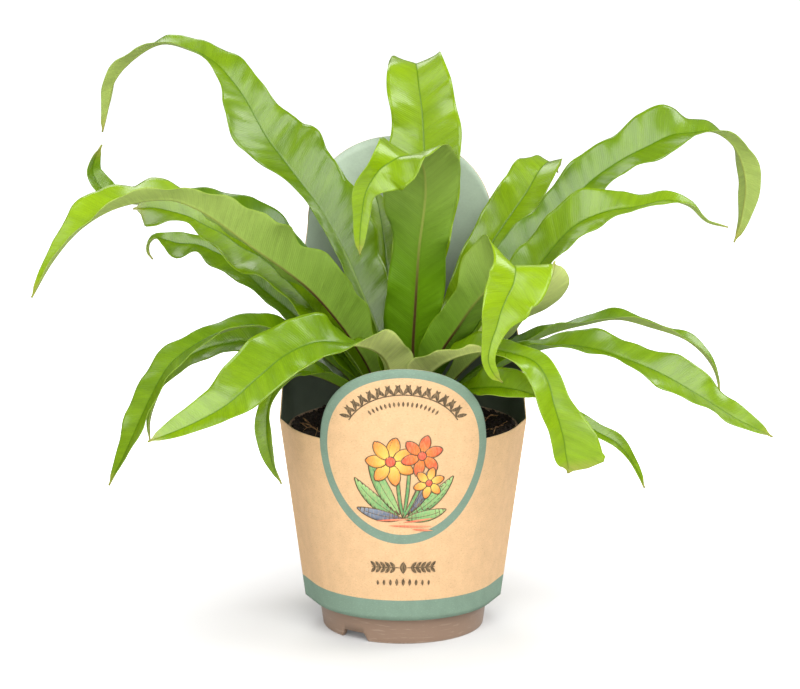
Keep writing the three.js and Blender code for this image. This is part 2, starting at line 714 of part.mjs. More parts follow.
function frondHeight(frame, across, frond) {
  const half = across > 0 ? frame.right : frame.left;
  const fold = (frond.fold + FOLD_BASE * Math.exp(-frame.distance / FOLD_REACH)) * TURN;
  const start = Math.min(frame.distance / WAVE_START, 1);
  const end = Math.min((frame.length - frame.distance) / WAVE_END, 1);
  const size = (frond.wave * WAVE * start * end * half) / WAVE_HALF;
  const lag = across > 0 ? 0 : WAVE_LAG;
  const turn = (2 * Math.PI * frame.distance) / WAVE_LENGTH;
  const wave = size * across ** 2 * Math.sin(turn + frond.phase + lag);
  return { out: half * across * Math.cos(fold), up: half * Math.abs(across) * Math.sin(fold) + wave };
}

function bladeThickness(frame, across) {
  const stalk = Math.max(1 - frame.distance / STALK_BLEND, 0);
  const middle = 1 - Math.abs(across);
  const rib = across === 0 ? RIB : BLADE;
  return rib * (1 - stalk) + (STALK_EDGE + (STALK - STALK_EDGE) * Math.sqrt(middle)) * stalk;
}

function buildFrond(frond) {
  const across = ACROSS;
  const rows = [];
  const [start] = frond.frames;
  const root = { ...start, place: start.place.clone().addScaledVector(start.along, -STALK_DEPTH) };
  for (const frame of [root, ...frond.frames]) {
    rows.push(across.map((q) => {
      const shape = frondHeight(frame, q, frond);
      const isStalk = frame === root || frame === start;
      const lift = isStalk ? 0 : shape.up;
      const out = isStalk ? frame.left * q : shape.out;
      return frame.place.clone().addScaledVector(frame.side, out).addScaledVector(frame.normal, lift);
    }));
  }
  const frames = [root, ...frond.frames];
  const upper = [];
  const under = [];
  rows.forEach((row, i) => {
    row.forEach((point, k) => {
      const nextRow = rows[Math.min(i + 1, rows.length - 1)][k];
      const lastRow = rows[Math.max(i - 1, 0)][k];
      const growth = nextRow.clone().sub(lastRow);
      const sideways = row[Math.min(k + 1, row.length - 1)].clone().sub(row[Math.max(k - 1, 0)]);
      const normal = new THREE.Vector3().crossVectors(sideways, growth).normalize();
      upper.push(point);
      under.push(point.clone().addScaledVector(normal, -bladeThickness(frames[i], across[k])));
    });
  });
  return skin(upper, under, rows.length, across.length);
}

// Closes an upper and an under sheet of the same grid into one solid.
function skin(upper, under, rowCount, columnCount) {
  const positions = [...upper, ...under].flatMap((point) => [point.x, point.y, point.z]);
  const half = upper.length;
  const top = (row, column) => row * columnCount + column;
  const indices = [];
  const quad = (a, b, c, d) => indices.push(a, b, c, a, c, d);
  for (let row = 0; row + 1 < rowCount; row += 1) {
    for (let column = 0; column + 1 < columnCount; column += 1) {
      const a = top(row, column);
      const b = top(row, column + 1);
      const c = top(row + 1, column + 1);
      const d = top(row + 1, column);
      quad(a, b, c, d);
      indices.push(half + a, half + c, half + b, half + a, half + d, half + c);
    }
    const last = columnCount - 1;
    quad(top(row, 0), top(row + 1, 0), half + top(row + 1, 0), half + top(row, 0));
    quad(top(row + 1, last), top(row, last), half + top(row, last), half + top(row + 1, last));
  }
  const end = rowCount - 1;
  for (let column = 0; column + 1 < columnCount; column += 1) {
    quad(top(0, column + 1), top(0, column), half + top(0, column), half + top(0, column + 1));
    quad(top(end, column), top(end, column + 1), half + top(end, column + 1), half + top(end, column));
  }
  return plainGeometry(positions, indices);
}

const fronds = FRONDS.map((frond, i) => (
  { ...frond, phase: i * WAVE_PHASE, frames: frondFrames(frond) }
));

const plant = new THREE.Group();
plant.name = 'potted_fern';
plant.add(named('pot', fromSolid(buildPot()), 'pot'));
plant.add(named('card_sleeve', buildSleeve(), 'card_sleeve'));
plant.add(named('soil', buildSoil(), 'soil'));
plant.add(named('crown', fromSolid(buildCrown(fronds)), 'crown'));
for (const frond of fronds) {
  plant.add(named(frond.name, buildFrond(frond), 'frond'));
}

const bounds = new THREE.Box3().setFromObject(plant);
plant.position.set(-(bounds.min.x + bounds.max.x) / 2, -(bounds.min.y + bounds.max.y) / 2, -bounds.min.z);
plant.updateMatrixWorld(true);

export default plant;
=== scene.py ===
"""A potted fern with undivided strap fronds in a printed card sleeve, dressed over its CAD frame."""
import math
from random import Random

import bmesh
import bpy
import numpy as np
from bpy.props import FloatProperty, FloatVectorProperty, IntProperty, PointerProperty
from bpy.types import Operator, Panel, PropertyGroup
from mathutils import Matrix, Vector


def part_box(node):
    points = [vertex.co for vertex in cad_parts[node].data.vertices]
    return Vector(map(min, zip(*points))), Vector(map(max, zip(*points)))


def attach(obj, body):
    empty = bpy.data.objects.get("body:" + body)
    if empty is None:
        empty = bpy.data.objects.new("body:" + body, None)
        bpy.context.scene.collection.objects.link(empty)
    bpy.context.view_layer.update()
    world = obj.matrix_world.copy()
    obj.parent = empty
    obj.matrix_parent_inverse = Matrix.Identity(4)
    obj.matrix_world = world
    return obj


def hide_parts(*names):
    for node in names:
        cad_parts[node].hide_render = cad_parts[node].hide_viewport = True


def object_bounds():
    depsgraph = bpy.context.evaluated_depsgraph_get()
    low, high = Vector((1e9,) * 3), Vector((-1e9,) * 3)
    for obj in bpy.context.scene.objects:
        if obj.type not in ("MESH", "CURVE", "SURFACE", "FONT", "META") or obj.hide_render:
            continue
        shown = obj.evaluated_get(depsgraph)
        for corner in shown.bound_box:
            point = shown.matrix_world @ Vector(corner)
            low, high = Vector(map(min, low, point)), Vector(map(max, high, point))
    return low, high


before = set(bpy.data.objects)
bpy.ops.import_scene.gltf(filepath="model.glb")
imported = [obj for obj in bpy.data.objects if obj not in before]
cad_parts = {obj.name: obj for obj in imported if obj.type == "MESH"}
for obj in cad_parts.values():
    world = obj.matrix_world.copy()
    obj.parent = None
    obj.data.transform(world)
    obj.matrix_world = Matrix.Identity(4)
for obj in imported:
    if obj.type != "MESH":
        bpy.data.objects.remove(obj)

bl_info = {
    "name": "Potted Strap Fern",
    "version": (1, 0, 0),
    "blender": (4, 5, 0),
    "location": "3D View > Sidebar > Fern",
    "description": "Builds a potted strap-leaved fern in a printed card sleeve over its CAD frame",
    "category": "Add Mesh",
}

CAD_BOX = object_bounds()
POT_LOW, POT_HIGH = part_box("pot")
MM = 0.001
AXIS_X = (POT_LOW.x + POT_HIGH.x) / 2
AXIS_Y = (POT_LOW.y + POT_HIGH.y) / 2

# The shapes below have the CAD source's measures: lengths in millimetres from the middle of the pot's
# foot, angles in degrees, and each taper as the rise in radius for a millimetre of height.
POT_HEIGHT = POT_HIGH.z / MM
POT_BASE_RADIUS = 41.5
POT_TAPER = 0.145
POT_WALL = 1.2
POT_FLOOR_UNDER = 4.8
POT_FLOOR_TOP = 6.0
FOOT_RING_WIDTH = 2.2
RIM_BOTTOM = 98.8
RIM_TOP_RADIUS = 59.1
RIM_BOTTOM_RADIUS = 58.2
RIM_WALL = 1.6
NOTCH_ANGLES = (-127, 40, 125)
NOTCH_TOP_HALF = 6.0
NOTCH_FOOT_HALF = 8.5
NOTCH_HEIGHT = 4.4

SLEEVE_BOTTOM = 14
SLEEVE_SHOULDER = 108
SLEEVE_RADIUS = 60.8
SLEEVE_TAPER = 0.145
SLEEVE_ROWS = 49
CREASE_BOTTOM = 50.8
CREASE_SHOULDER = 63.6
TAB_RADIUS = 46
TAB_CENTRE = 102
PANEL_HALF_TURN = 42
PANEL_TWIST = 2.5
PANEL_CENTRE = 192
PANEL_RISE = 52
# The panel's side edge: turns from the middle of the back, each with the edge's height there.
PANEL_SIDE = ((90, 108), (83, 119), (76, 130), (70, 140), (63, 151), (56, 163), (50, 175), (45, 187))

SOIL_RIPPLE = 1.1
# The soil's top: distances from the pot's axis, each with its height.
SOIL_RISE = ((27.3, 94), (33.3, 95), (40.3, 98.4), (47.3, 102.4), (54.6, 104), (56, 105), (58, 105.4))
CROWN_RADIUS = 27
CROWN_TOP = 106
CROWN_DROP = 12
FIBRE_REACH = 52
CRUMB_SEED = 5

# The fronds. A blade's columns lie close over the midrib, as far out as RIB_ZONE of its half widths but no
# further than RIB_ZONE_MOST of the blade's, and wide beyond. NEAR_COLUMNS and FAR_COLUMNS are shares of
# the one and the other stretch.
RIB_ZONE = 1.9
RIB_ZONE_MOST = 0.6
NEAR_COLUMNS = np.array([0.3, 0.62, 1.0])
FAR_COLUMNS = np.linspace(0.12, 1, 9)
FOLD_BASE = 20
FOLD_REACH = 60
WAVE_START = 35
WAVE_END = 30
WAVE_HALF = 15
GLANCE = 0.5
LEAST_HALF = 0.8
CAD_ROW_STEP = 10
TIP_LENGTH = 5
TIP_LEAST = 0.25
STALK_DEPTH = 6
STALK_BLEND = 38
STALK_THICK = 3.4
STALK_EDGE = 1.5
ROOT_HALF = 2
BLADE_THINNING = 0.45
RIB_TAPER = 0.66
RIDGE_HEIGHT = 0.14
RIDGE_LOSS = 0.22
GROOVE_DEPTH = 0.08
GROOVE_PLACE = 1.15
VEIN_SLANT = 0.5
BOX_MARGIN = 0.1

# Waves along the blades' edges. Each frond's phase is its place in the list times WAVE_PHASE, and a lag
# or a pair of lags sets the halves of a blade apart.
WAVE_PHASE = 1.7
WAVE_LAG = 2.3
RUFFLE_LENGTH = 19
RUFFLE_PHASE = 2.3
RUFFLE_LAGS = (1.1, 4.0)
SCALLOP = 0.028
SCALLOP_LENGTH = 29
SCALLOP_PHASE = 3.1
SCALLOP_LAGS = (0, 1.9)

# Puckers: height against the first, length, and how much the frond's phase and the half's lag shift them.
PUCKERS = ((1, 9.7, 1, 1), (0.7, 6.1, 1.7, 2), (1.3, 23, 2.3, 3))
PUCKER_LAG = 2.6

# The studio in metres: half the floor's width, how far the camera sees, and the height the lamps aim at.
FLOOR_HALF = 9
CLIP_END = 30
AIM_HEIGHT = 0.15

# The camera that the fronds' points are read through, and that takes the render. It looks along +Y and
# down by its drop. Its place is in millimetres, its drop in degrees, and its focal length and the width
# and middle of its 800 x 689 picture are in pixels.
CAMERA_PLACE = (-1.6, -1434.5, 438.6)
CAMERA_DROP = 11.5
FOCAL_LENGTH = 2860
PICTURE_WIDTH = 800
PICTURE_MIDDLE = (400, 344.5)
SENSOR_WIDTH = 36

# Each frond: its direction seen from above in degrees, how young it is from 0 to 1, how much its edges
# wave, how far each half leans up from the midrib in degrees, its root (x, y) on the crown, and its
# points as the pixel across and down at which the midrib is seen, its depth y, its roll in degrees, left
# half width and right half width. With no last number both halves are alike.
FRONDS = {
    "frond_upper_left_arch": (155, 0.45, 0.35, 20, (-9, 4), [
        (388, 385, 7, -25, 5), (380, 340, 12, -30, 10, 11), (364, 298, 20, -32, 8, 15),
        (343, 250, 28, -34, 7, 19), (322, 211, 35, -36, 6, 21), (302, 184, 41, -37, 7, 22),
        (284, 162, 46, -38, 13, 22), (268, 138, 52, -38, 20, 20), (256, 119, 56, -38, 21, 15),
        (244, 98, 61, -34, 17, 12), (232, 80, 65, -26, 10, 12), (214, 63, 69, -16, 7, 12),
        (193, 50, 74, -10, 6, 10), (162, 44, 81, -2, 6.5, 7.5), (131, 60, 88, 0, 7.5),
        (113, 82, 92, 4, 7), (109, 103, 94, 3, 5), (106, 119, 95, 0, 3), (101, 131, 96, 0, 1),
    ]),
    "frond_inner_left": (110, 0.5, 1, 20, (-3, 12), [
        (394, 385, 17, 0, 4), (391, 335, 27, 5, 8), (388, 285, 37, 5, 9), (384, 240, 45, 0, 9),
        (378, 205, 50, 0, 5), (373, 188, 52, 0, 1),
    ]),
    "frond_left_long": (205, 0.75, 0.45, 32, (-9, -5), [
        (376, 380, -10, 0, 5), (356, 344, -17, 15, 11), (334, 314, -25, 30, 16, 14),
        (308, 288, -33, 38, 20, 14), (282, 267, -40, 38, 14, 13), (257, 249, -47, 38, 20.5, 13),
        (222, 224, -56, 32, 13, 12), (196, 208, -63, 20, 12), (172, 199, -67, 10, 11.5, 17.5),
        (140, 201, -73, 4, 10.5, 17), (108, 210, -78, 0, 9.5, 14), (78, 231, -83, -5, 8, 10),
        (52, 262, -87, -5, 5), (31, 297, -90, 0, 1),
    ]),
    "frond_left_bright": (180, 0.5, 0.4, 20, (-16, -1), [
        (366, 384, -3, -20, 5), (342, 345, -8, -34, 10), (318, 316, -12, -42, 13),
        (290, 284, -16, -46, 13), (262, 259, -20, -48, 14), (242, 247, -23, -48, 17, 13),
        (222, 235, -25, -46, 14, 12), (204, 225, -27, -44, 15, 11), (190, 218, -28, -38, 6, 11),
        (172, 211, -29, -38, 9, 10), (156, 208, -30, -42, 17, 8), (144, 208, -30, -44, 14, 5),
        (134, 209, -31, -30, 1),
    ]),
    "frond_centre_front": (-90, 0.65, 0.6, 20, (2, -6), [
        (412, 390, -12, 0, 6), (414, 345, -18, 0, 12, 15.5), (416, 310, -22, 0, 15, 17),
        (418, 275, -26, 0, 16, 15), (420, 245, -30, 0, 15, 14.5), (423, 215, -34, 0, 17, 21),
        (425, 190, -38, 0, 18, 24), (424, 168, -45, 0, 18.5, 23), (416, 156, -54, 0, 17, 20),
        (402, 156, -62, -12, 16, 16), (390, 162, -66, -28, 15.5, 12), (378, 172, -69, -30, 13.5, 9),
        (366, 192, -70, 5, 5.5, 6.5), (361, 214, -70, 5, 4.5), (360, 236, -70, 0, 3),
        (360, 255, -70, 0, 1),
    ]),
    "frond_centre_back": (90, 0.7, 0.6, 20, (2, 5), [
        (411, 380, 8, 0, 5), (414, 330, 12, 0, 10), (417, 270, 17, 0, 14),
        (422, 210, 23, 0, 17, 19), (425, 160, 30, 0, 20, 20), (422, 115, 37, 0, 17.5, 20),
        (419, 82, 45, 0, 18, 16.5), (416, 66, 55, 0, 15.5, 13.5), (417, 64, 68, 0, 12),
        (416, 76, 80, 0, 8), (415, 102, 88, 0, 1),
    ]),
    "frond_left_back": (168, 0.15, 0.5, 20, (-14, 9), [
        (370, 378, 13, -15, 5), (344, 330, 20, -25, 9), (315, 284, 27, -28, 10),
        (282, 243, 33, -28, 10), (246, 213, 38, -22, 10.5), (208, 201, 42, -15, 9),
        (170, 201, 44, -10, 8), (132, 203, 46, -12, 8), (106, 194, 47, -22, 7),
        (94, 174, 48, -32, 5.5), (94, 158, 49, -30, 3.5), (102, 145, 49, -30, 1),
    ]),
    "frond_left_hook": (178, 0.25, 0.45, 20, (-20, 6), [
        (358, 386, 10, -15, 4), (328, 350, 16, -25, 9), (296, 318, 20, -32, 12),
        (262, 288, 22, -36, 12.5, 11), (232, 261, 22, -38, 13, 9), (212, 250, 21.5, -40, 13.5, 7),
        (197, 245, 21, -40, 9.5, 6), (178, 243, 20, -42, 15, 6), (164, 239, 19.5, -34, 8, 4),
        (154, 238.5, 19, -10, 3), (148, 243, 18, 0, 2.5), (148, 254, 17, 0, 2),
        (153, 260, 16, 0, 1),
    ]),
    "frond_front_left": (212, 0.45, 0.5, 20, (-8, -14), [
        (394, 394, -25, 10, 6), (388, 363, -36, 20, 14), (371, 348, -49, 22, 15),
        (344, 343, -62, -15, 12), (314, 343, -75, -42, 12, 14), (284, 356, -87, -50, 13, 16),
        (256, 379, -97, -50, 12, 15.5), (226, 404, -105, -45, 10, 12.5),
        (198, 422, -111, -40, 7, 9), (170, 434, -115, -35, 4, 5), (147, 442, -118, -30, 1),
    ]),
    "frond_outer_left": (188, 0.3, 0.3, 20, (-23, -5), [
        (358, 390, -11, 0, 4), (325, 356, -19, -6, 8), (290, 336, -25, -8, 9),
        (255, 325, -31, -10, 10, 9), (222, 331, -37, -14, 10, 7.5), (194, 345, -43, -22, 9.5, 7),
        (169, 366, -48, -30, 9.5), (150, 397, -53, -32, 9.5), (134, 432, -57, -30, 7.5),
        (121, 463, -59, -24, 4.5), (108, 486, -61, -15, 1),
    ]),
    "frond_low_left": (180, 0.3, 0.4, 20, (-24, 2), [
        (352, 396, 2, 0, 4), (318, 362, 1, -15, 9), (284, 345, -1, -25, 11),
        (250, 342, -3, -32, 12, 10), (222, 345, -6, -36, 13, 9), (198, 352, -9, -38, 12, 8),
        (179, 364, -12, -36, 9, 7), (165, 381, -15, -32, 6, 5), (154, 402, -18, -24, 3.5),
        (149, 422, -20, -16, 2.5), (149, 441, -21, -10, 1),
    ]),
    "frond_hanging_left": (198, 0.45, 1, 20, (-20, -13), [
        (360, 402, -20, 0, 4), (328, 378, -29, 0, 6), (298, 372, -37, -10, 7),
        (278, 384, -43, -22, 7), (269, 405, -45, -28, 6.5), (266, 430, -47, -28, 5.5),
        (271, 458, -49, -22, 4.5), (281, 485, -51, -10, 1),
    ]),
    "frond_front_right": (-38, 0.6, 0.4, 24, (-1, -17), [
        (418, 398, -29, 0, 6), (432, 372, -40, 0, 12), (452, 357, -49, 5, 13, 14),
        (482, 350, -59, 12, 10, 14), (510, 353, -67, 22, 7, 13), (534, 363, -74, 32, 6, 11),
        (547, 381, -80, 42, 7, 10), (555, 405, -84, 48, 9, 9), (561, 426, -85, 50, 14, 7),
        (564, 441, -85, 50, 18, 7), (566, 456, -85, 50, 19, 6.5), (567, 466, -85, 50, 18, 4.5),
        (567, 473, -85, 50, 1),
    ]),
    "frond_small_right": (-45, 0.4, 1, 20, (4, -23), [
        (424, 406, -30, 0, 4), (444, 397, -35, 14, 5), (466, 390, -41, 26, 5, 3),
        (490, 387, -53, 46, 9, 7.5), (512, 388, -61, 46, 10.5, 8.5), (528, 392, -66, 36, 6, 5),
        (540, 398, -69, 25, 1),
    ]),
    "frond_folded_right": (-85, 0.95, 0.4, 20, (9, -9), [
        (427, 386, -20, 0, 6), (441, 352, -29, 0, 11, 12), (457, 327, -37, 0, 12, 11),
        (475, 303, -46, 0, 14, 12), (493, 282, -56, -14, 15, 19), (508, 267, -66, -24, 18, 18),
        (515, 268, -75, -20, 18, 13.5), (513, 284, -80, -8, 17, 15), (508, 297, -82, 0, 13.5, 13),
        (502, 311, -84, 0, 12.5, 10.5), (497, 327, -85, 0, 6.5, 8.5), (491, 345, -86, 0, 4, 5),
        (489, 362, -86, 0, 3.4), (494, 376, -85, 0, 2.6), (503, 382, -84, 0, 1),
    ]),
    "frond_short_right": (-25, 0.4, 0.4, 16, (15, -12), [
        (440, 396, -19, 0, 5), (466, 366, -24, -12, 9), (498, 337, -28, -24, 12.5),
        (526, 311, -30, -32, 16, 14), (543, 291, -31, -34, 19, 15), (552, 274, -33, -28, 13, 11),
        (555, 261, -34, 0, 1),
    ]),
    "frond_tail_right": (-30, 0.4, 1, 20, (11, -21), [
        (440, 406, -26, 0, 4), (470, 393, -32, 5, 6), (505, 386, -38, 10, 7),
        (540, 394, -44, 15, 6), (570, 413, -50, 20, 5), (594, 431, -53, 24, 4),
        (617, 444, -55, 24, 4), (634, 464, -56, 15, 3), (645, 488, -58, 10, 1),
    ]),
    "frond_upper_right_arch": (22, 0.35, 0.45, 20, (13, 4), [
        (436, 380, 7, 15, 5), (462, 336, 11, 25, 10), (492, 294, 15, 32, 12),
        (524, 254, 20, 36, 13), (556, 219, 27, 36, 13, 13), (588, 184, 34, 38, 13.5, 12),
        (620, 161, 41, 40, 14.5, 11), (648, 145, 46, 40, 16, 13), (672, 136, 50, 34, 17, 13),
        (692, 132, 53, 24, 12, 11), (716, 132, 57, 8, 10), (736, 148, 60, -10, 9),
        (746, 180, 62, -20, 8), (743, 214, 63, -20, 5), (735, 242, 64, -10, 1),
    ]),
    "frond_mid_right": (4, 0.5, 0.5, 20, (18, -3), [
        (446, 392, -4, 10, 5), (476, 352, -6, 20, 9), (508, 310, -8, 28, 12),
        (540, 266, -7, 34, 14, 16), (572, 229, -7, 36, 15, 13), (604, 213, -6, 34, 13, 12),
        (638, 206, -5, 26, 9, 8), (668, 200, -4, 16, 6), (690, 205, -3, 5, 5),
        (708, 221, -2, 0, 2.5), (728, 226, -1, 0, 1),
    ]),
    "frond_back_right": (62, 0.6, 0.4, 20, (8, 12), [
        (432, 374, 18, 10, 5), (453, 322, 27, 18, 9), (472, 281, 34, 22, 11),
        (492, 245, 40, 24, 13, 12), (510, 216, 46, 24, 14, 11.5), (526, 191, 52, 22, 14, 11),
        (538, 173, 59, 16, 13, 11), (546, 162, 68, 5, 9, 9), (552, 162, 77, 0, 6),
        (558, 172, 84, 0, 1),
    ]),
    "frond_thin_right": (-2, 0.3, 0.6, 20, (23, 0), [
        (456, 396, 0, 0, 4), (488, 368, -1, 5, 6), (518, 348, -3, 4, 7), (550, 333, -5, 0, 7.5),
        (584, 323, -7, 0, 7.5), (618, 319, -8, 0, 7), (652, 326, -9, 0, 6.5), (684, 338, -9, 0, 6),
        (703, 354, -9, 4, 5), (715, 371, -9, 5, 3), (720, 391, -9, 0, 1),
    ]),
    "frond_long_right": (-12, 0.45, 0.6, 20, (22, -9), [
        (456, 404, -13, 0, 4), (488, 374, -19, 6, 8), (520, 356, -24, 8, 9),
        (554, 346, -29, 10, 10), (590, 347, -34, 16, 10.5), (626, 359, -38, 26, 11),
        (662, 375, -41, 32, 12), (698, 395, -44, 32, 11.5), (730, 416, -46, 30, 8.5),
        (754, 429, -48, 25, 5), (773, 437, -49, 20, 1),
    ]),
}

# How pale and lit the underside of a frond is, from 0 to 1, where it isn't the usual.
# Partly painted light: the undersides of the front fronds lie in shade and are made palest as painted front
# light.
USUAL_PALE = 0.12
PALE_AND_LIT_UNDER = {
    "frond_front_left": 1.0,
    "frond_front_right": 1.0,
    "frond_short_right": 0.4,
    "frond_small_right": 0.55,
    "frond_left_long": 0.2,
    "frond_centre_front": 0.05,
}


def srgb(red, green, blue):
    """A colour given as 0 to 255 in display values, as the linear RGBA that Blender's sockets take."""
    def linear(value):
        value /= 255
        return value / 12.92 if value <= 0.04045 else ((value + 0.055) / 1.055) ** 2.4

    return (linear(red), linear(green), linear(blue), 1.0)


def colour_setting(name, description, red, green, blue):
    return FloatVectorProperty(
        name=name, description=description, default=srgb(red, green, blue), subtype="COLOR", size=4,
        min=0, max=1,
    )


def size_setting(name, description, millimetres):
    return FloatProperty(
        name=name, description=description, default=millimetres * MM, min=0, unit="LENGTH", precision=5
    )


def share_setting(name, description, default):
    return FloatProperty(
        name=name, description=description, default=default, min=0, max=1, subtype="FACTOR"
    )


def count_setting(name, description, default):
    return IntProperty(name=name, description=description, default=default, min=0)


def power_setting(name, description, watts):
    return FloatProperty(name=name, description=description, default=watts, min=0, unit="POWER")


class FernSizes(PropertyGroup):
    """Sizes that a user would change."""

    blade: size_setting("Blade thickness", "Thickness of a frond's blade beside its midrib", 0.5)
    rib_width: size_setting("Midrib half width", "Half the width of a frond's midrib at its base", 1.2)
    rib_drop: size_setting("Midrib depth", "How far the midrib stands out under the blade at its base", 0.8)
    wave: size_setting("Wave height", "Height of the long waves along a blade's edges", 4.6)
    wave_length: size_setting("Wave length", "Length of the long waves along a blade's edges", 47)
    ruffle: size_setting("Ruffle height", "Height of the short ruffles on a blade's edges", 0.9)
    pucker: size_setting("Pucker height", "Height of the puckers that follow the side veins", 0.15)
    vein_step: size_setting("Vein spacing", "Distance between two side veins", 1.15)
    row_step: size_setting("Blade row length", "Length of the mesh rows along a frond", 1.6)
    card: size_setting("Card thickness", "Thickness of the sleeve's card", 0.6)
    ring_width: size_setting("Ring width", "Width of the printed ring on the round tab", 4.7)
    band_height: size_setting("Band height", "Height of the printed band along the sleeve's foot", 11)
    crumb: size_setting("Crumb size", "Size of the largest soil crumbs", 3.4)
    chip: size_setting("Bark chip size", "Length of the largest bark chips", 7.5)
    scale: size_setting("Crown scale length", "Length of the longest papery scales on the crown", 8)


class FernCounts(PropertyGroup):
    """Densities and number of the small loose pieces, and their seed."""

    crumbs: count_setting("Crumbs", "Soil crumbs for each square metre", 620000)
    chips: count_setting("Bark chips", "Bark chips for each square metre", 30000)
    scales: count_setting("Scales", "Crown scales for each square metre", 330000)
    fibres: count_setting("Fibres", "Pale root fibres on the soil", 46)
    seed: count_setting("Seed", "Seed of all that is strewn or laid at random", 11)


class FernColours(PropertyGroup):
    """Colours of the plant, the sleeve, the pot and the soil."""

    young: colour_setting("Young blade", "Upper side of the youngest fronds", 152, 186, 4)
    mature: colour_setting("Mature blade", "Upper side of the oldest fronds", 78, 120, 0)
    # Partly painted light: this underside colour is brightened beyond the leaf's own pale green to paint
    # front light on undersides in shade.
    under_pale_lit: colour_setting("Pale underside", "Underside of the palest fronds", 240, 248, 155)
    under_deep: colour_setting("Deep underside", "Underside of the deepest green fronds", 104, 148, 14)
    rib: colour_setting("Midrib", "Foot of the midrib on the upper side", 172, 202, 104)
    rib_under: colour_setting("Midrib below", "Midrib on the underside", 168, 176, 84)
    rib_foot: colour_setting("Midrib foot", "Dark foot of the midrib on the underside", 78, 46, 26)
    tip: colour_setting("Blade tip", "Dry tips of the fronds", 176, 168, 78)
    kraft: colour_setting("Kraft card", "Unprinted card", 216, 178, 134)
    fibre: colour_setting("Card fibre", "Darker fibres in the card", 182, 142, 98)
    sage: colour_setting("Sage print", "Ring and band", 118, 142, 124)
    lining: colour_setting("Lining", "Coated inner face of the sleeve", 176, 192, 172)
    ink: colour_setting("Dark ink", "Outlines and small marks", 84, 68, 46)
    plastic: colour_setting("Pot plastic", "Moulded plastic of the pot", 140, 115, 96)
    peat: colour_setting("Peat", "Dark soil", 42, 28, 19)
    bark: colour_setting("Bark", "Bark chips in the soil", 92, 58, 36)
    root: colour_setting("Root fibre", "Pale fibres on the soil", 168, 128, 88)
    scale: colour_setting("Crown scale", "Papery scales of the crown", 96, 66, 36)
    floor: colour_setting("Floor", "Studio floor", 206, 206, 206)


class FernLight(PropertyGroup):
    """Strengths of the studio light, and the share of it that passes through a blade."""

    sky: FloatProperty(
        name="Sky", description="Strength of the even light from all sides", default=0.3, min=0
    )
    key: power_setting("Key", "Power of the large lamp in front", 23)
    low: power_setting("Low", "Power of the low lamp in front", 6)
    side: power_setting("Side", "Power of the lamp at right", 11)
    fill: power_setting("Fill", "Power of the lamp above left", 3)
    back: power_setting("Back", "Power of the lamp behind", 6)
    through: share_setting("Light through blades", "Share of the light that passes through a blade", 0.34)


# Meshes


def grid_corners(rows, columns, looped=True):
    """The first point of each face of a grid, and that point's neighbour in the next column."""
    across = np.arange(columns if looped else columns - 1)
    row, column = np.meshgrid(np.arange(rows - 1), across, indexing="ij")
    return (row * columns + column).ravel(), (row * columns + (column + 1) % columns).ravel()


def sheet_faces(rows, columns, looped=False):
    """Faces of a closed thin body whose outer and inner sheets are grids of rows by columns."""
    half = rows * columns
    a, b = grid_corners(rows, columns, looped)
    c, d = b + columns, a + columns
    faces = [np.stack([a, b, c, d], 1), np.stack([half + a, half + d, half + c, half + b], 1)]
    a = np.arange(columns if looped else columns - 1)
    b = (a + 1) % columns
    faces.append(np.stack([b, a, half + a, half + b], 1))
    a, b = a + half - columns, b + half - columns
    faces.append(np.stack([a, b, half + b, half + a], 1))
    if not looped:
        a = np.arange(rows - 1) * columns
        b = a + columns
        faces.append(np.stack([a, b, half + b, half + a], 1))
        a, b = a + columns - 1, b + columns - 1
        faces.append(np.stack([b, a, half + a, half + b], 1))
    return np.concatenate(faces)


def make_mesh(name, points, faces, fields=None):
    """A smooth mesh from points in millimetres round the pot's axis, with vector attributes."""
    mesh = bpy.data.meshes.new(name)
    placed = np.asarray(points, float).reshape(-1, 3) * MM + (AXIS_X, AXIS_Y, 0)
    mesh.from_pydata(placed.tolist(), [], [list(map(int, face)) for face in faces])
    for field, values in (fields or {}).items():
        attribute = mesh.attributes.new(field, "FLOAT_VECTOR", "POINT")
        attribute.data.foreach_set("vector", np.asarray(values, np.float32).ravel())
    mesh.shade_smooth()
    mesh.update()
    return mesh


def add_piece(name, mesh, material, slot, *nodes):
    """Puts a finished mesh in the scene, riding on the part and standing for the named nodes."""
    piece = bpy.data.objects.new(name, mesh)
    bpy.context.scene.collection.objects.link(piece)
    mesh.materials.clear()
    mesh.materials.append(material)
    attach(piece, "root")
    if nodes:
        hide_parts(*nodes)


def finish_node(name, material):
    """Gives one of the frame's own solids a finish."""
    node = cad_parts[name]
    if not node.material_slots:
        node.data.materials.append(None)
    for slot in node.material_slots:
        slot.link = "OBJECT"
        slot.material = material


def unit(vectors):
    return vectors / np.maximum(np.linalg.norm(vectors, axis=-1, keepdims=True), 1e-12)


def curve_through(rows, measured=3):
    """A smooth curve through rows of numbers, spaced by the distance between their first few."""
    rows = np.array(rows, float)
    gaps = np.linalg.norm(np.diff(rows[:, :measured], axis=0), axis=1)
    knots = np.concatenate([[0.0], np.cumsum(gaps)])
    after = np.minimum(np.arange(len(rows)) + 1, len(rows) - 1)
    before = np.maximum(np.arange(len(rows)) - 1, 0)
    slopes = (rows[after] - rows[before]) / (knots[after] - knots[before])[:, None]

    def value_at(distance):
        distance = np.clip(distance, 0, knots[-1])
        i = np.clip(np.searchsorted(knots, distance) - 1, 0, len(rows) - 2)
        span = (knots[i + 1] - knots[i])[:, None]
        t = (distance - knots[i])[:, None] / span
        rise = t ** 2 * (3 - 2 * t)
        start = t * (1 - t) ** 2 * span
        end = t ** 2 * (t - 1) * span
        return rows[i] * (1 - rise) + rows[i + 1] * rise + slopes[i] * start + slopes[i + 1] * end

    return knots[-1], value_at


# Fronds


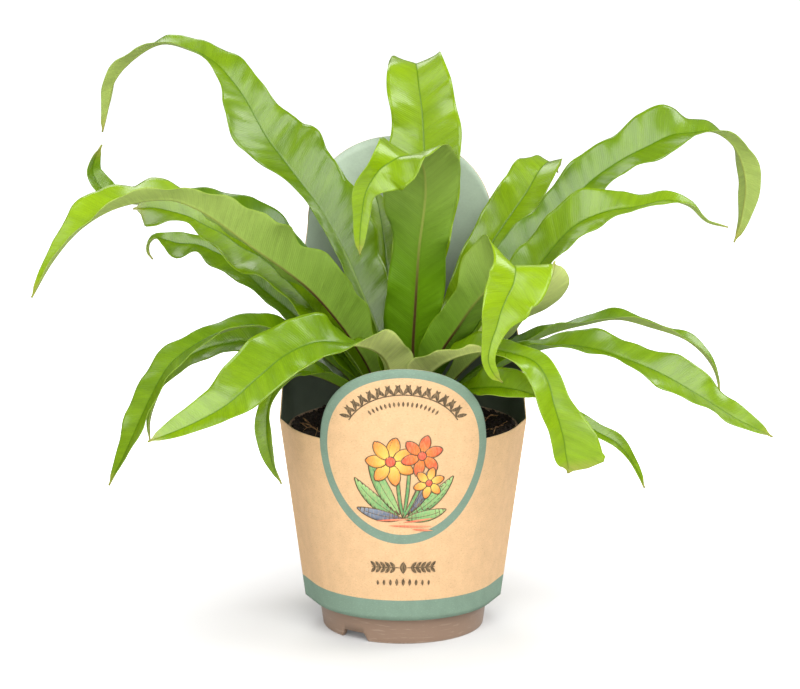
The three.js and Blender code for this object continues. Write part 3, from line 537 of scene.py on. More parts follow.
def blade_columns(left, right, rib):
    """Distances from the midrib of the columns of one blade, close over the rib and wide beyond it."""
    sides = []
    for half in (left, right):
        edge = np.minimum(rib * RIB_ZONE, half * RIB_ZONE_MOST)
        near = edge[:, None] * NEAR_COLUMNS
        far = edge[:, None] + (half - edge)[:, None] * FAR_COLUMNS
        sides.append(np.concatenate([near, far], 1))
    return np.concatenate([-sides[0][:, ::-1], np.zeros((len(rib), 1)), sides[1]], 1)


def pucker_height(across, along, phase):
    """Small ridges that follow the side veins out from the midrib."""
    line = along - np.abs(across) * VEIN_SLANT
    side = np.where(across > 0, 0.0, PUCKER_LAG)
    return sum(
        height * np.sin(line * 2 * math.pi / length + phase * shift + side * lag)
        for height, length, shift, lag in PUCKERS
    )


def crown_height(radius):
    """Height of the crown's dome at a distance from the pot's axis."""
    return CROWN_TOP - CROWN_DROP * (radius / CROWN_RADIUS) ** 2


def seen_point(across, down, y):
    """The point at depth y that the camera sees at a pixel, to the nearest millimetre."""
    camera_x, camera_y, camera_z = CAMERA_PLACE
    drop = math.radians(CAMERA_DROP)
    aside = (across - PICTURE_MIDDLE[0]) / FOCAL_LENGTH
    above = (PICTURE_MIDDLE[1] - down) / FOCAL_LENGTH
    distance = (y - camera_y) / (math.cos(drop) + above * math.sin(drop))
    climb = above * math.cos(drop) - math.sin(drop)
    return round(camera_x + distance * aside), y, round(camera_z + distance * climb)


def control_points(root, seen):
    """Rows of x, y, z, roll, left half and right half, from a frond's root to its tip."""
    rows = [(*root, round(crown_height(math.hypot(*root))), 0, ROOT_HALF, ROOT_HALF)]
    for across, down, y, roll, *halves in seen:
        rows.append((*seen_point(across, down, y), roll, halves[0], halves[-1]))
    return rows


def frond_mesh(name, order, sizes):
    """One frond: a folded, waved and puckered blade with its midrib, on a thick stalk."""
    azimuth, youth, waviness, lean, root, seen = FRONDS[name]
    length, value_at = curve_through(control_points(root, seen))
    count = round(length / (sizes.row_step / MM))
    d = np.concatenate([[-STALK_DEPTH, -STALK_DEPTH / 2], np.linspace(0, length, count + 1)])
    values = value_at(d)
    on_curve = np.clip(d, 0, length)
    grow = unit(value_at(on_curve + GLANCE)[:, :3] - value_at(on_curve - GLANCE)[:, :3])
    place = values[:, :3] + grow * np.minimum(d, 0)[:, None]
    level = np.array([math.sin(math.radians(azimuth)), -math.cos(math.radians(azimuth)), 0])
    side = unit(level - (grow @ level)[:, None] * grow)
    roll = np.radians(values[:, 3])[:, None]
    side = side * np.cos(roll) + np.cross(grow, side) * np.sin(roll)
    normal = np.cross(side, grow)

    tip = np.clip((length - d) / TIP_LENGTH, TIP_LEAST, 1)
    left, right = np.maximum(values[:, 4:6].T, LEAST_HALF) * tip
    reach = np.clip(d / length, 0, 1)
    rib = (sizes.rib_width / MM) * (1 - RIB_TAPER * reach)
    x = blade_columns(left, right, rib)
    half = np.where(x < 0, left[:, None], right[:, None])
    q = x / half
    d, reach, rib = d[:, None], reach[:, None], rib[:, None]

    def ripple(wave_length, phase, right_lag, left_lag):
        return np.sin(2 * math.pi * d / wave_length + phase + np.where(q > 0, right_lag, left_lag))

    phase = order * WAVE_PHASE
    wave = waviness * (sizes.wave / MM) * q ** 2 * ripple(sizes.wave_length / MM, phase, 0, WAVE_LAG)
    ruffle = (sizes.ruffle / MM) * q ** 4 * ripple(RUFFLE_LENGTH, phase * RUFFLE_PHASE, *RUFFLE_LAGS)
    # The puckers begin beside the midrib and grow flatter towards the edge.
    spread = np.clip(np.abs(q) * 3 - 0.3, 0, 1) * (1 - 0.35 * np.abs(q))
    pucker = (sizes.pucker / MM) * spread * pucker_height(x, d, phase)
    swell = np.clip(d / WAVE_START, 0, 1) * np.clip((length - d) / WAVE_END, 0, 1) * half / WAVE_HALF
    scallop = SCALLOP * q ** 2 * ripple(SCALLOP_LENGTH, phase * SCALLOP_PHASE, *SCALLOP_LAGS)
    scallop = 1 + scallop * np.clip(swell, 0, 1)
    fold = np.radians(lean + FOLD_BASE * np.exp(-np.maximum(d, 0) / FOLD_REACH))
    grown = np.clip(d / CAD_ROW_STEP, 0, 1)
    out = x * (1 + grown * (np.cos(fold) * scallop - 1))
    up = grown * (np.abs(x) * np.sin(fold) + (wave + ruffle + pucker) * swell)
    sheet = place[:, None] + side[:, None] * out[..., None] + normal[:, None] * up[..., None]

    facing = unit(np.cross(np.gradient(sheet, axis=1), np.gradient(sheet, axis=0)))
    stalk = np.clip(1 - d / STALK_BLEND, 0, 1)
    ridge = (RIDGE_HEIGHT - RIDGE_LOSS * reach) * np.exp(-(x / (0.5 * rib)) ** 2)
    groove = GROOVE_DEPTH * np.exp(-((np.abs(x) - GROOVE_PLACE * rib) / (0.5 * rib)) ** 2)
    raised = (ridge - groove) * (rib / rib[0]) * (1 - stalk)
    keel = (sizes.rib_drop / MM) * (rib / rib[0]) * np.exp(-(x / rib) ** 2)
    blade = (sizes.blade / MM) * (1 - BLADE_THINNING * q ** 2) + keel
    round_stalk = STALK_EDGE + (STALK_THICK - STALK_EDGE) * np.sqrt(np.clip(1 - q ** 2, 0, 1))
    thick = blade * (1 - stalk) + round_stalk * stalk
    axis = np.array([AXIS_X, AXIS_Y, 0])
    low, high = ((np.array(corner) - axis) / MM for corner in CAD_BOX)
    limits = (low + BOX_MARGIN, high - BOX_MARGIN)
    upper = np.clip(sheet + facing * raised[..., None], *limits)
    under = np.clip(sheet - facing * thick[..., None], *limits)

    # growth holds the reach along the blade, 1 above or 0 below, and the youth above or below a paleness
    # that is partly painted front light.
    wide = np.ones_like(x)
    blade_place = np.stack([x * MM, d * MM * wide, q], -1)
    growth = np.stack([reach * wide, wide, youth * wide], -1)
    growth_under = np.stack([reach * wide, 0 * wide, PALE_AND_LIT_UNDER.get(name, USUAL_PALE) * wide], -1)
    return make_mesh(
        name + "_blade",
        np.concatenate([upper.reshape(-1, 3), under.reshape(-1, 3)]),
        sheet_faces(*x.shape),
        {
            "blade_place": np.concatenate([blade_place.reshape(-1, 3)] * 2),
            "growth": np.concatenate([growth.reshape(-1, 3), growth_under.reshape(-1, 3)]),
        },
    )


# Pot, sleeve, soil and crown


def pot_wall(z):
    return POT_BASE_RADIUS + POT_TAPER * z


def turned_points(profile, angles):
    """Grid of points with a profile of (radius, height) pairs turned about the pot's axis."""
    profile = np.array(profile, float)
    return np.stack([
        profile[:, 0:1] * np.cos(angles),
        profile[:, 0:1] * np.sin(angles),
        profile[:, 1:2] * np.ones_like(angles),
    ], -1)


def pot_mesh():
    """The tapered pot: foot ring with drain notches, floor, wall and rim, every edge rounded."""
    def inner(z):
        return pot_wall(z) - POT_WALL

    ring = POT_BASE_RADIUS - FOOT_RING_WIDTH
    profile = [
        (0.6, POT_FLOOR_UNDER), (ring - 8, POT_FLOOR_UNDER), (ring - 0.7, POT_FLOOR_UNDER - 0.05),
        (ring - 0.15, POT_FLOOR_UNDER - 0.35), (ring, 4), (ring, 0.4), (ring + 0.12, 0.1), (ring + 0.4, 0),
        (POT_BASE_RADIUS - 0.5, 0), (POT_BASE_RADIUS - 0.15, 0.12), (pot_wall(0.6), 0.6), (pot_wall(2), 2),
        (pot_wall(4.4), 4.4), (pot_wall(9), 9),
    ]
    profile += [(pot_wall(z), z) for z in np.linspace(14, RIM_BOTTOM - 1.4, 12)]
    profile += [
        (pot_wall(RIM_BOTTOM - 0.6), RIM_BOTTOM - 0.6), (pot_wall(RIM_BOTTOM) + 0.25, RIM_BOTTOM - 0.2),
        (RIM_BOTTOM_RADIUS - 0.3, RIM_BOTTOM), (RIM_BOTTOM_RADIUS, RIM_BOTTOM + 0.3),
        (RIM_TOP_RADIUS, POT_HEIGHT - 0.5), (RIM_TOP_RADIUS - 0.15, POT_HEIGHT - 0.15),
        (RIM_TOP_RADIUS - 0.5, POT_HEIGHT), (RIM_TOP_RADIUS - RIM_WALL + 0.3, POT_HEIGHT),
        (RIM_TOP_RADIUS - RIM_WALL, POT_HEIGHT - 0.3), (RIM_BOTTOM_RADIUS - RIM_WALL, RIM_BOTTOM + 1),
        (inner(RIM_BOTTOM - 1), RIM_BOTTOM - 1), (inner(60), 60),
        (inner(POT_FLOOR_TOP + 1.5), POT_FLOOR_TOP + 1.5), (inner(POT_FLOOR_TOP) - 1.5, POT_FLOOR_TOP),
        (0.6, POT_FLOOR_TOP),
    ]
    corners = [
        math.radians(angle) + sign * arc / POT_BASE_RADIUS
        for angle in NOTCH_ANGLES
        for sign in (-1, 1)
        for arc in (NOTCH_TOP_HALF, NOTCH_TOP_HALF + 0.3, NOTCH_FOOT_HALF, NOTCH_FOOT_HALF + 0.3)
    ]
    angles = np.unique(np.concatenate([np.arange(-180, 180, 2) * math.pi / 180, corners]))
    points = turned_points(profile, angles)
    for notch in NOTCH_ANGLES:
        away = np.angle(np.exp(1j * (angles - math.radians(notch)))) * POT_BASE_RADIUS
        flank = (NOTCH_FOOT_HALF - np.abs(away)) / (NOTCH_FOOT_HALF - NOTCH_TOP_HALF)
        lift = NOTCH_HEIGHT * np.clip(flank, 0, 1)
        low = (points[..., 2] < NOTCH_HEIGHT) & (np.hypot(points[..., 0], points[..., 1]) > ring - 0.4)
        points[..., 2] = np.where(low, np.maximum(points[..., 2], lift), points[..., 2])
    rows, columns = points.shape[:2]
    a, b = grid_corners(rows, columns)
    faces = [*np.stack([a, b, b + columns, a + columns], 1)]
    faces.append(np.arange(columns)[::-1])
    faces.append(np.arange(columns) + (rows - 1) * columns)
    return make_mesh("pot_body", points, faces)


def sleeve_reach(angle, z, inset):
    """Distance from the axis to the card: round in front and behind, straight on to the side creases."""
    radius = SLEEVE_RADIUS + (z - SLEEVE_SHOULDER) * SLEEVE_TAPER
    rise = (z - SLEEVE_BOTTOM) / (SLEEVE_SHOULDER - SLEEVE_BOTTOM)
    crease = CREASE_BOTTOM + (CREASE_SHOULDER - CREASE_BOTTOM) * rise
    touch = np.arccos(np.minimum(radius / crease, 1))
    from_crease = np.abs(np.arcsin(np.sin(angle)))
    bend = np.minimum(from_crease - touch, 0)
    return (radius - inset) / np.cos(bend)


def sleeve_outline():
    """The sleeve's columns: polar angle, height of the top edge, turn from the front or back middle."""
    half_tab = math.sqrt(TAB_RADIUS ** 2 - (SLEEVE_SHOULDER - TAB_CENTRE) ** 2)
    tab_end = math.asin(half_tab / TAB_RADIUS)
    shoulder_turn = math.degrees(half_tab / SLEEVE_RADIUS)
    front = [(turn, SLEEVE_SHOULDER) for turn in np.linspace(90, shoulder_turn + 0.4, 34)]
    for lean in np.linspace(tab_end, 0, 46):
        across = TAB_RADIUS * math.sin(lean)
        top = TAB_CENTRE + math.sqrt(TAB_RADIUS ** 2 - across ** 2)
        front.append((math.degrees(across / SLEEVE_RADIUS), top))
    arch = [
        (PANEL_HALF_TURN * math.sin(lean), PANEL_CENTRE + PANEL_RISE * math.cos(lean))
        for lean in np.radians(np.linspace(82, 0, 12))
    ]
    length, value_at = curve_through([*PANEL_SIDE, *arch], 2)
    back = [tuple(row) for row in value_at(np.linspace(0, length, 90))]
    columns = [(-90 - turn, top, -turn) for turn, top in front]
    columns += [(-90 + turn, top, turn) for turn, top in front[-2::-1]]
    columns += [(90 - turn + PANEL_TWIST * (1 - turn / 90), top, turn) for turn, top in back[1:]]
    columns += [(90 + turn + PANEL_TWIST * (1 - turn / 90), top, -turn) for turn, top in back[-2:0:-1]]
    return np.array(columns)


def sleeve_mesh(card):
    """The card sleeve. Each point keeps its distance round the card, its height and its face."""
    columns = sleeve_outline()
    angle = np.radians(columns[:, 0])
    rise = np.linspace(0, 1, SLEEVE_ROWS)[:, None]
    z = SLEEVE_BOTTOM + (columns[:, 1] - SLEEVE_BOTTOM) * rise
    sheets = []
    fields = []
    across = np.radians(columns[:, 2]) * SLEEVE_RADIUS * np.ones_like(z)
    for inset, outside in ((0, 1), (card, 0)):
        reach = sleeve_reach(angle, z, inset)
        sheets.append(np.stack([reach * np.cos(angle), reach * np.sin(angle), z], -1).reshape(-1, 3))
        fields.append(np.stack([across * MM, z * MM, np.full_like(z, outside)], -1).reshape(-1, 3))
    return make_mesh(
        "card_sleeve_wrap", np.concatenate(sheets), sheet_faces(*z.shape, looped=True),
        {"card_place": np.concatenate(fields)},
    )


def soil_height(x, y):
    """Height of the loose soil's top: low round the crown, banked up to the rim."""
    radii, heights = zip(*SOIL_RISE)
    ripple = SOIL_RIPPLE * (np.sin(x * 0.21 + 1) * np.cos(y * 0.19) + 0.6 * np.sin(x * 0.11 - y * 0.33))
    return np.interp(np.hypot(x, y), radii, heights) + ripple


def ground_mesh(name, points):
    """Rings of faces that look up, to scatter on."""
    rows, columns = points.shape[:2]
    a, b = grid_corners(rows, columns)
    return make_mesh(name, points, np.stack([a, a + columns, b + columns, b], 1))


def soil_ground(inner, outer):
    """The open top of the soil between two radii."""
    radii = np.linspace(inner, outer, 18)
    points = turned_points([(radius, 0) for radius in radii], np.radians(np.arange(0, 360, 5)))
    points[..., 2] = soil_height(points[..., 0], points[..., 1])
    return ground_mesh("soil_ground", points)


def crown_ground():
    """The domed top of the crown."""
    radii = np.array([0.3, 5, 10, 15, 20, 24, CROWN_RADIUS])
    profile = list(zip(radii, crown_height(radii)))
    return ground_mesh("crown_ground", turned_points(profile, np.radians(np.arange(0, 360, 10))))


# Scattered pieces


def add_sockets(tree, direction, kinds):
    """Gives a node group its inputs or outputs, from their names and kinds."""
    for name, kind in kinds.items():
        tree.interface.new_socket(name=name, in_out=direction, socket_type="NodeSocket" + kind)


def scatter_tree():
    """Geometry nodes that strew copies of a shape over a ground, each turned, sized and roughened."""
    tree = bpy.data.node_groups.get("Strewn Pieces")
    if tree:
        return tree
    tree = bpy.data.node_groups.new("Strewn Pieces", "GeometryNodeTree")
    add_sockets(tree, "INPUT", {
        "Ground": "Geometry", "Shape": "Object", "Density": "Float", "Seed": "Int", "Smallest": "Float",
        "Largest": "Float", "Least Tilt": "Float", "Most Tilt": "Float", "Roughening": "Float",
        "Finish": "Material",
    })
    add_sockets(tree, "OUTPUT", {"Pieces": "Geometry"})
    nodes = Recipe(tree)
    given = nodes.node("NodeGroupInput").outputs
    spots = nodes.node("GeometryNodeDistributePointsOnFaces", {
        "Mesh": given["Ground"], "Density": given["Density"], "Seed": given["Seed"],
    })
    shape = nodes.node("GeometryNodeObjectInfo", {"Object": given["Shape"]})
    size = nodes.chance(given["Smallest"], given["Largest"], given["Seed"])
    tilt = nodes.chance(given["Least Tilt"], given["Most Tilt"], nodes.plus(given["Seed"], 1))
    spin = nodes.chance(0.0, 2 * math.pi, nodes.plus(given["Seed"], 2))
    lean = nodes.node("ShaderNodeCombineXYZ", {"X": tilt, "Z": spin}).outputs[0]
    lean = nodes.node("FunctionNodeEulerToRotation", {"Euler": lean}).outputs[0]
    turn = nodes.node("FunctionNodeRotateRotation", {
        "Rotation": spots.outputs["Rotation"], "Rotate By": lean,
    }, rotation_space="LOCAL").outputs[0]
    copies = nodes.node("GeometryNodeInstanceOnPoints", {
        "Points": spots.outputs["Points"], "Instance": shape.outputs["Geometry"],
        "Rotation": turn, "Scale": size,
    })
    real = nodes.node("GeometryNodeRealizeInstances", {"Geometry": copies.outputs[0]}).outputs[0]
    place = nodes.node("GeometryNodeInputPosition").outputs[0]
    noise = nodes.node("ShaderNodeTexNoise", {"Vector": place, "Scale": 900.0, "Detail": 1.0})
    shift = nodes.vector("SUBTRACT", {0: noise.outputs["Color"], 1: (0.5, 0.5, 0.5)})
    shift = nodes.vector("SCALE", {0: shift, "Scale": given["Roughening"]})
    moved = nodes.node("GeometryNodeSetPosition", {"Geometry": real, "Offset": shift}).outputs[0]
    finished = nodes.node("GeometryNodeSetMaterial", {"Geometry": moved, "Material": given["Finish"]})
    nodes.node("NodeGroupOutput", {"Pieces": finished.outputs[0]})
    return tree


def strew(name, ground, shape_mesh, slot, **inputs):
    """Scatters copies of a shape over a ground, and adds them as one plain mesh piece."""
    tree = scatter_tree()
    shape = bpy.data.objects.new(name + "_shape", shape_mesh)
    carrier = bpy.data.objects.new(name + "_ground", ground)
    for made in (shape, carrier):
        bpy.context.scene.collection.objects.link(made)
    modifier = carrier.modifiers.new("Strewn", "NODES")
    modifier.node_group = tree
    sockets = {item.name: item.identifier for item in tree.interface.items_tree if item.in_out == "INPUT"}
    for label, value in {"Shape": shape, **inputs}.items():
        modifier[sockets[label]] = value
    graph = bpy.context.evaluated_depsgraph_get()
    mesh = bpy.data.meshes.new_from_object(carrier.evaluated_get(graph), depsgraph=graph)
    mesh.name = name
    bpy.data.objects.remove(carrier)
    bpy.data.objects.remove(shape)
    if not mesh.polygons:
        raise RuntimeError(f"{name} came out empty")
    add_piece(name, mesh, inputs["Finish"], slot)


def unit_mesh(name, points, faces):
    """A small shape about its own middle, one unit long, to be copied."""
    mesh = bpy.data.meshes.new(name)
    mesh.from_pydata([tuple(point) for point in points], [], [tuple(face) for face in faces])
    mesh.update()
    return mesh


def facing_out(mesh, wrapped=False):
    """A mesh with its faces turned outwards, after its points are wrapped in a hull if asked."""
    work = bmesh.new()
    work.from_mesh(mesh)
    if wrapped:
        made = bmesh.ops.convex_hull(work, input=work.verts)
        unused = [piece for piece in made["geom_unused"] if isinstance(piece, bmesh.types.BMVert)]
        bmesh.ops.delete(work, geom=unused)
    bmesh.ops.recalc_face_normals(work, faces=work.faces)
    work.to_mesh(mesh)
    work.free()
    return mesh


def crumb_shape():
    """An uneven lump of twelve corners."""
    gold = (1 + math.sqrt(5)) / 2
    corners = [(0, a, b * gold) for a in (-1, 1) for b in (-1, 1)]
    corners += [(a, b * gold, 0) for a in (-1, 1) for b in (-1, 1)]
    corners += [(a * gold, 0, b) for a in (-1, 1) for b in (-1, 1)]
    draw = Random(CRUMB_SEED)
    points = [Vector(corner).normalized() * draw.uniform(0.36, 0.6) for corner in corners]
    return facing_out(unit_mesh("crumb_shape", points, []), wrapped=True)


def chip_shape():
    """A flat split chip with slanting ends."""
    outline = [(-0.5, -0.12), (-0.2, -0.2), (0.35, -0.17), (0.5, -0.02), (0.3, 0.16), (-0.3, 0.2)]
    points = [(x, y, z * (1 + 0.5 * x)) for z in (-0.055, 0.055) for x, y in outline]
    count = len(outline)
    faces = [[*range(count)][::-1], [*range(count, 2 * count)]]
    faces += [(i, (i + 1) % count, (i + 1) % count + count, i + count) for i in range(count)]
    return unit_mesh("chip_shape", points, faces)


def scale_shape():
    """A narrow pointed scale that stands on its foot and curls back."""
    rows, columns = 5, 3
    s = np.linspace(0, 1, rows)[:, None]
    across = np.array([-1, 0, 1])
    half = 0.13 * np.sin(math.pi * (0.2 + 0.78 * s)) ** 0.8
    x = half * across
    y = 0.22 * s ** 2 + 0.05 * np.abs(across) * s
    z = s * np.ones(columns) - 0.08
    upper = np.stack([x, y * np.ones(columns), z], -1).reshape(-1, 3)
    under = upper - (0, 0.02, 0)
    faces = sheet_faces(rows, columns).tolist()
    return facing_out(unit_mesh("scale_shape", np.concatenate([under, upper]), faces))


def fibre_mesh(count, seed):
    """Thin pale roots that lie in loose arcs on the soil, each a closed five-sided thread."""
    draw = Random(seed)
    points = []
    faces = []
    steps, sides = 12, 5
    for _ in range(count):
        angle = draw.uniform(0, 2 * math.pi)
        radius = draw.uniform(CROWN_RADIUS + 6, FIBRE_REACH)
        heading = draw.uniform(0, 2 * math.pi)
        bend = draw.uniform(-0.16, 0.16)
        step = draw.uniform(0.8, 2.2)
        thick = draw.uniform(0.16, 0.44)
        hump = draw.uniform(0.6, 3.2)
        x, y = radius * math.cos(angle), radius * math.sin(angle)
        for i in range(steps + 1):
            if math.hypot(x, y) > FIBRE_REACH:
                heading += math.pi * 0.6
            x += step * math.cos(heading)
            y += step * math.sin(heading)
            heading += bend + draw.uniform(-0.15, 0.15)
            z = soil_height(x, y) + 0.9 + hump * math.sin(math.pi * i / steps) ** 2
            for side in range(sides):
                turn = 2 * math.pi * side / sides
                outward = thick * math.cos(turn)
                points.append((
                    x + outward * math.sin(heading),
                    y - outward * math.cos(heading),
                    z + thick * math.sin(turn),
                ))
        base = len(points) - (steps + 1) * sides
        for i in range(steps):
            for side in range(sides):
                a = base + i * sides + side
                b = base + i * sides + (side + 1) % sides
                faces.append((a, b, b + sides, a + sides))
        faces.append([base + side for side in range(sides)][::-1])
        faces.append([base + steps * sides + side for side in range(sides)])
    return make_mesh("root_fibres", points, faces)


# The print on the tab


def sleeve_point(across, z, lift):
    """Points on the front of the sleeve, at a distance round the card and a height, lifted off it."""
    angle = -math.pi / 2 + across / SLEEVE_RADIUS
    reach = sleeve_reach(angle, z, -lift)
    return np.stack([reach * np.cos(angle), reach * np.sin(angle), z], -1)


class PrintSheet:
    """Collects the inked shapes, each a closed film a few hundredths of a millimetre thick."""

    def __init__(self):
        self.points = []
        self.faces = []
        self.inks = []
        self.lift = 0.04

    def stroke(self, path, widths, first, last=None):
        """A shape along a path of (across, height) points with half widths, from one ink to another.

        Each shape lies a little higher than the one before it, so that none flickers through another.
        """
        path = np.array(path, float)
        along = unit(np.gradient(path, axis=0))
        side = np.stack([along[:, 1], -along[:, 0]], -1)
        widths = np.maximum(np.array(widths, float), 0.03)
        spread = np.linspace(-1, 1, 5)
        flat = path[:, None] + side[:, None] * (widths[:, None] * spread)[..., None]
        rows, columns = flat.shape[:2]
        base = sum(len(part) for part in self.points)
        shares = np.linspace(0, 1, rows)[:, None, None]
        ink = np.array(first[:3]) * (1 - shares) + np.array((last or first)[:3]) * shares
        ink = (ink * np.ones((rows, columns, 1))).reshape(-1, 3)
        self.lift += 0.002
        for height in (self.lift + 0.03, self.lift):
            self.points.append(sleeve_point(flat[..., 0], flat[..., 1], height).reshape(-1, 3))
            self.inks.append(ink)
        self.faces.append(sheet_faces(rows, columns) + base)

    def leaf(self, start, heading, length, half, colours, outline=None, bend=0.0, rib=None,
             steps=12, full=0.75):
        """A leaf or petal from its foot, at a heading in degrees from upright, bent along its length.

        It has an outline and a midrib where they are given an ink. The less full is, the blunter it ends.
        """
        s = np.linspace(0, 1, steps)
        turn = np.radians(heading + bend * s)
        stride = length / (steps - 1)
        x = start[0] + np.concatenate([[0], np.cumsum(np.sin(turn[:-1]) * stride)])
        z = start[1] + np.concatenate([[0], np.cumsum(np.cos(turn[:-1]) * stride)])
        widths = half * np.sin(math.pi * np.clip(s, 0.001, 0.999)) ** full
        path = np.stack([x, z], -1)
        if outline is not None:
            grown = path + (path - path.mean(0)) * (0.9 / length)
            self.stroke(grown, widths + 0.42, outline)
        self.stroke(path, widths, colours[0], colours[-1])
        if rib is not None:
            self.stroke(path[1:-2], np.full(steps - 3, 0.16), rib)

    def arc(self, radius, first, last, half, ink):
        """A thin line that follows the ring, from one turn to another in degrees."""
        turns = np.radians(np.linspace(first, last, 30))
        path = np.stack([radius * np.sin(turns), TAB_CENTRE + radius * np.cos(turns)], -1)
        self.stroke(path, np.full(len(turns), half), ink)

    def mesh(self):
        return make_mesh(
            "sleeve_print", np.concatenate(self.points), np.concatenate(self.faces),
            {"ink": np.concatenate(self.inks)},
        )


def print_mesh(colours):
    """A spray of flowers and strap leaves, a leafy garland above it and a small ornament beneath."""
    dark = tuple(colours.ink)
    green, pale_green = srgb(92, 152, 92), srgb(150, 192, 120)
    orange, yellow, red = srgb(236, 126, 48), srgb(248, 204, 92), srgb(214, 84, 62)
    slate, mist, sand = srgb(74, 84, 104), srgb(128, 142, 160), srgb(224, 150, 112)
    sheet = PrintSheet()

    # The garland: pairs of leaves along a line, and single leaves on a smaller arc inside it.
    garland, inside = 32.6, 27.4
    for turn in np.linspace(-52, 52, 15):
        angle = math.radians(turn)
        foot = (garland * math.sin(angle), TAB_CENTRE + garland * math.cos(angle))
        for lean in (-34, 34):
            sheet.leaf(foot, turn + lean, 6.4, 1.0, (dark, dark), steps=7)
    sheet.arc(garland, -56, 56, 0.3, dark)
    for turn in np.linspace(-34, 34, 17):
        angle = math.radians(turn)
        foot = (inside * math.sin(angle), TAB_CENTRE + inside * math.cos(angle) - 1)
        sheet.leaf(foot, turn, 2.8, 0.55, (dark, dark), steps=5)

    # The spray's leaves and stems, its flowers, and the strokes of ground beneath it.
    for start, heading, length, half, bend, tints in (
        ((-3, 71), -66, 30, 3.3, 34, (green, pale_green)),
        ((3, 71), 64, 31, 3.2, -30, (green, pale_green)),
        ((-2, 72), -38, 33, 3.5, 22, (pale_green, green)),
        ((2, 72), 40, 31, 3.4, -26, (slate, mist)),
        ((-1, 69.5), -86, 25, 2.7, 14, (slate, mist)),
        ((1, 69.5), 88, 23, 2.7, -16, (green, pale_green)),
    ):
        sheet.leaf(start, heading, length, half, tints, dark, bend, dark)
    for heading, length, bend in ((-14, 26, 18), (12, 30, -14), (32, 22, -8)):
        sheet.leaf((0, 70), heading, length, 0.7, (green, green), dark, bend, full=0.3)
    for (x, z), size, petals, tints in (
        ((-6.5, 99.5), 12.5, 7, (yellow, orange)),
        ((9.5, 102.5), 10.5, 6, (orange, red)),
        ((13.5, 88), 8.0, 6, (yellow, orange)),
    ):
        for k in range(petals):
            heading = 360 * k / petals + 11
            foot = (
                x + size * 0.16 * math.sin(math.radians(heading)),
                z + size * 0.16 * math.cos(math.radians(heading)),
            )
            sheet.leaf(foot, heading, size * 0.86, size * 0.25, tints, dark, 8, full=0.6)
        sheet.leaf((x, z - size * 0.2), 0, size * 0.4, size * 0.2, (red, red), dark, full=0.5)
    for x, z, length, lean in ((-15, 68, 19, 86), (-8, 65.6, 24, 92), (0, 67.4, 17, 84), (5, 63.6, 12, 95)):
        sheet.leaf((x, z), lean, length, 0.55, (red, sand), steps=8)

    # The ornament: a sprig to either side, a leaf between them and a row of small leaves.
    for sign in (-1, 1):
        sheet.leaf((2 * sign, 43), 90 * sign, 17, 0.35, (dark, dark), steps=8, full=0.25)
        for k in range(5):
            foot = (sign * (4.6 + 2.9 * k), 43)
            for lean in (-1, 1):
                sheet.leaf(foot, sign * (90 - 42 * lean), 4.4, 0.9, (dark, dark), steps=6)
    sheet.leaf((0, 39.8), 0, 6.4, 1.9, (dark, dark), steps=7)
    for k in range(-4, 5):
        sheet.leaf((3.9 * k, 33.2), 0, 4 - 0.3 * abs(k), 0.95 - 0.06 * abs(k), (dark, dark), steps=6)
    return sheet.mesh()


# Materials


PALE_FLECK = srgb(232, 204, 164)
FADED_SAGE = srgb(158, 184, 160)
# Painted shade: the dark colour the sleeve's lining takes towards its foot.
PAINTED_LINING_SHADE = srgb(66, 72, 60)
WORN_CREASE = srgb(230, 208, 176)
CUT_EDGE = srgb(206, 176, 134)
BARE_CARD = srgb(216, 182, 136)
DUST = srgb(206, 186, 168)
RUBBED_FOOT = srgb(214, 194, 176)
DARK_PEAT = srgb(18, 12, 8)
DARK_BARK = srgb(40, 25, 16)
DARK_ROOT = srgb(104, 74, 48)
DARK_SCALE = srgb(44, 29, 16)

# Layout of the nodes in their editor
NODES_IN_ROW = 9
NODE_ACROSS = 230
NODE_DOWN = 260


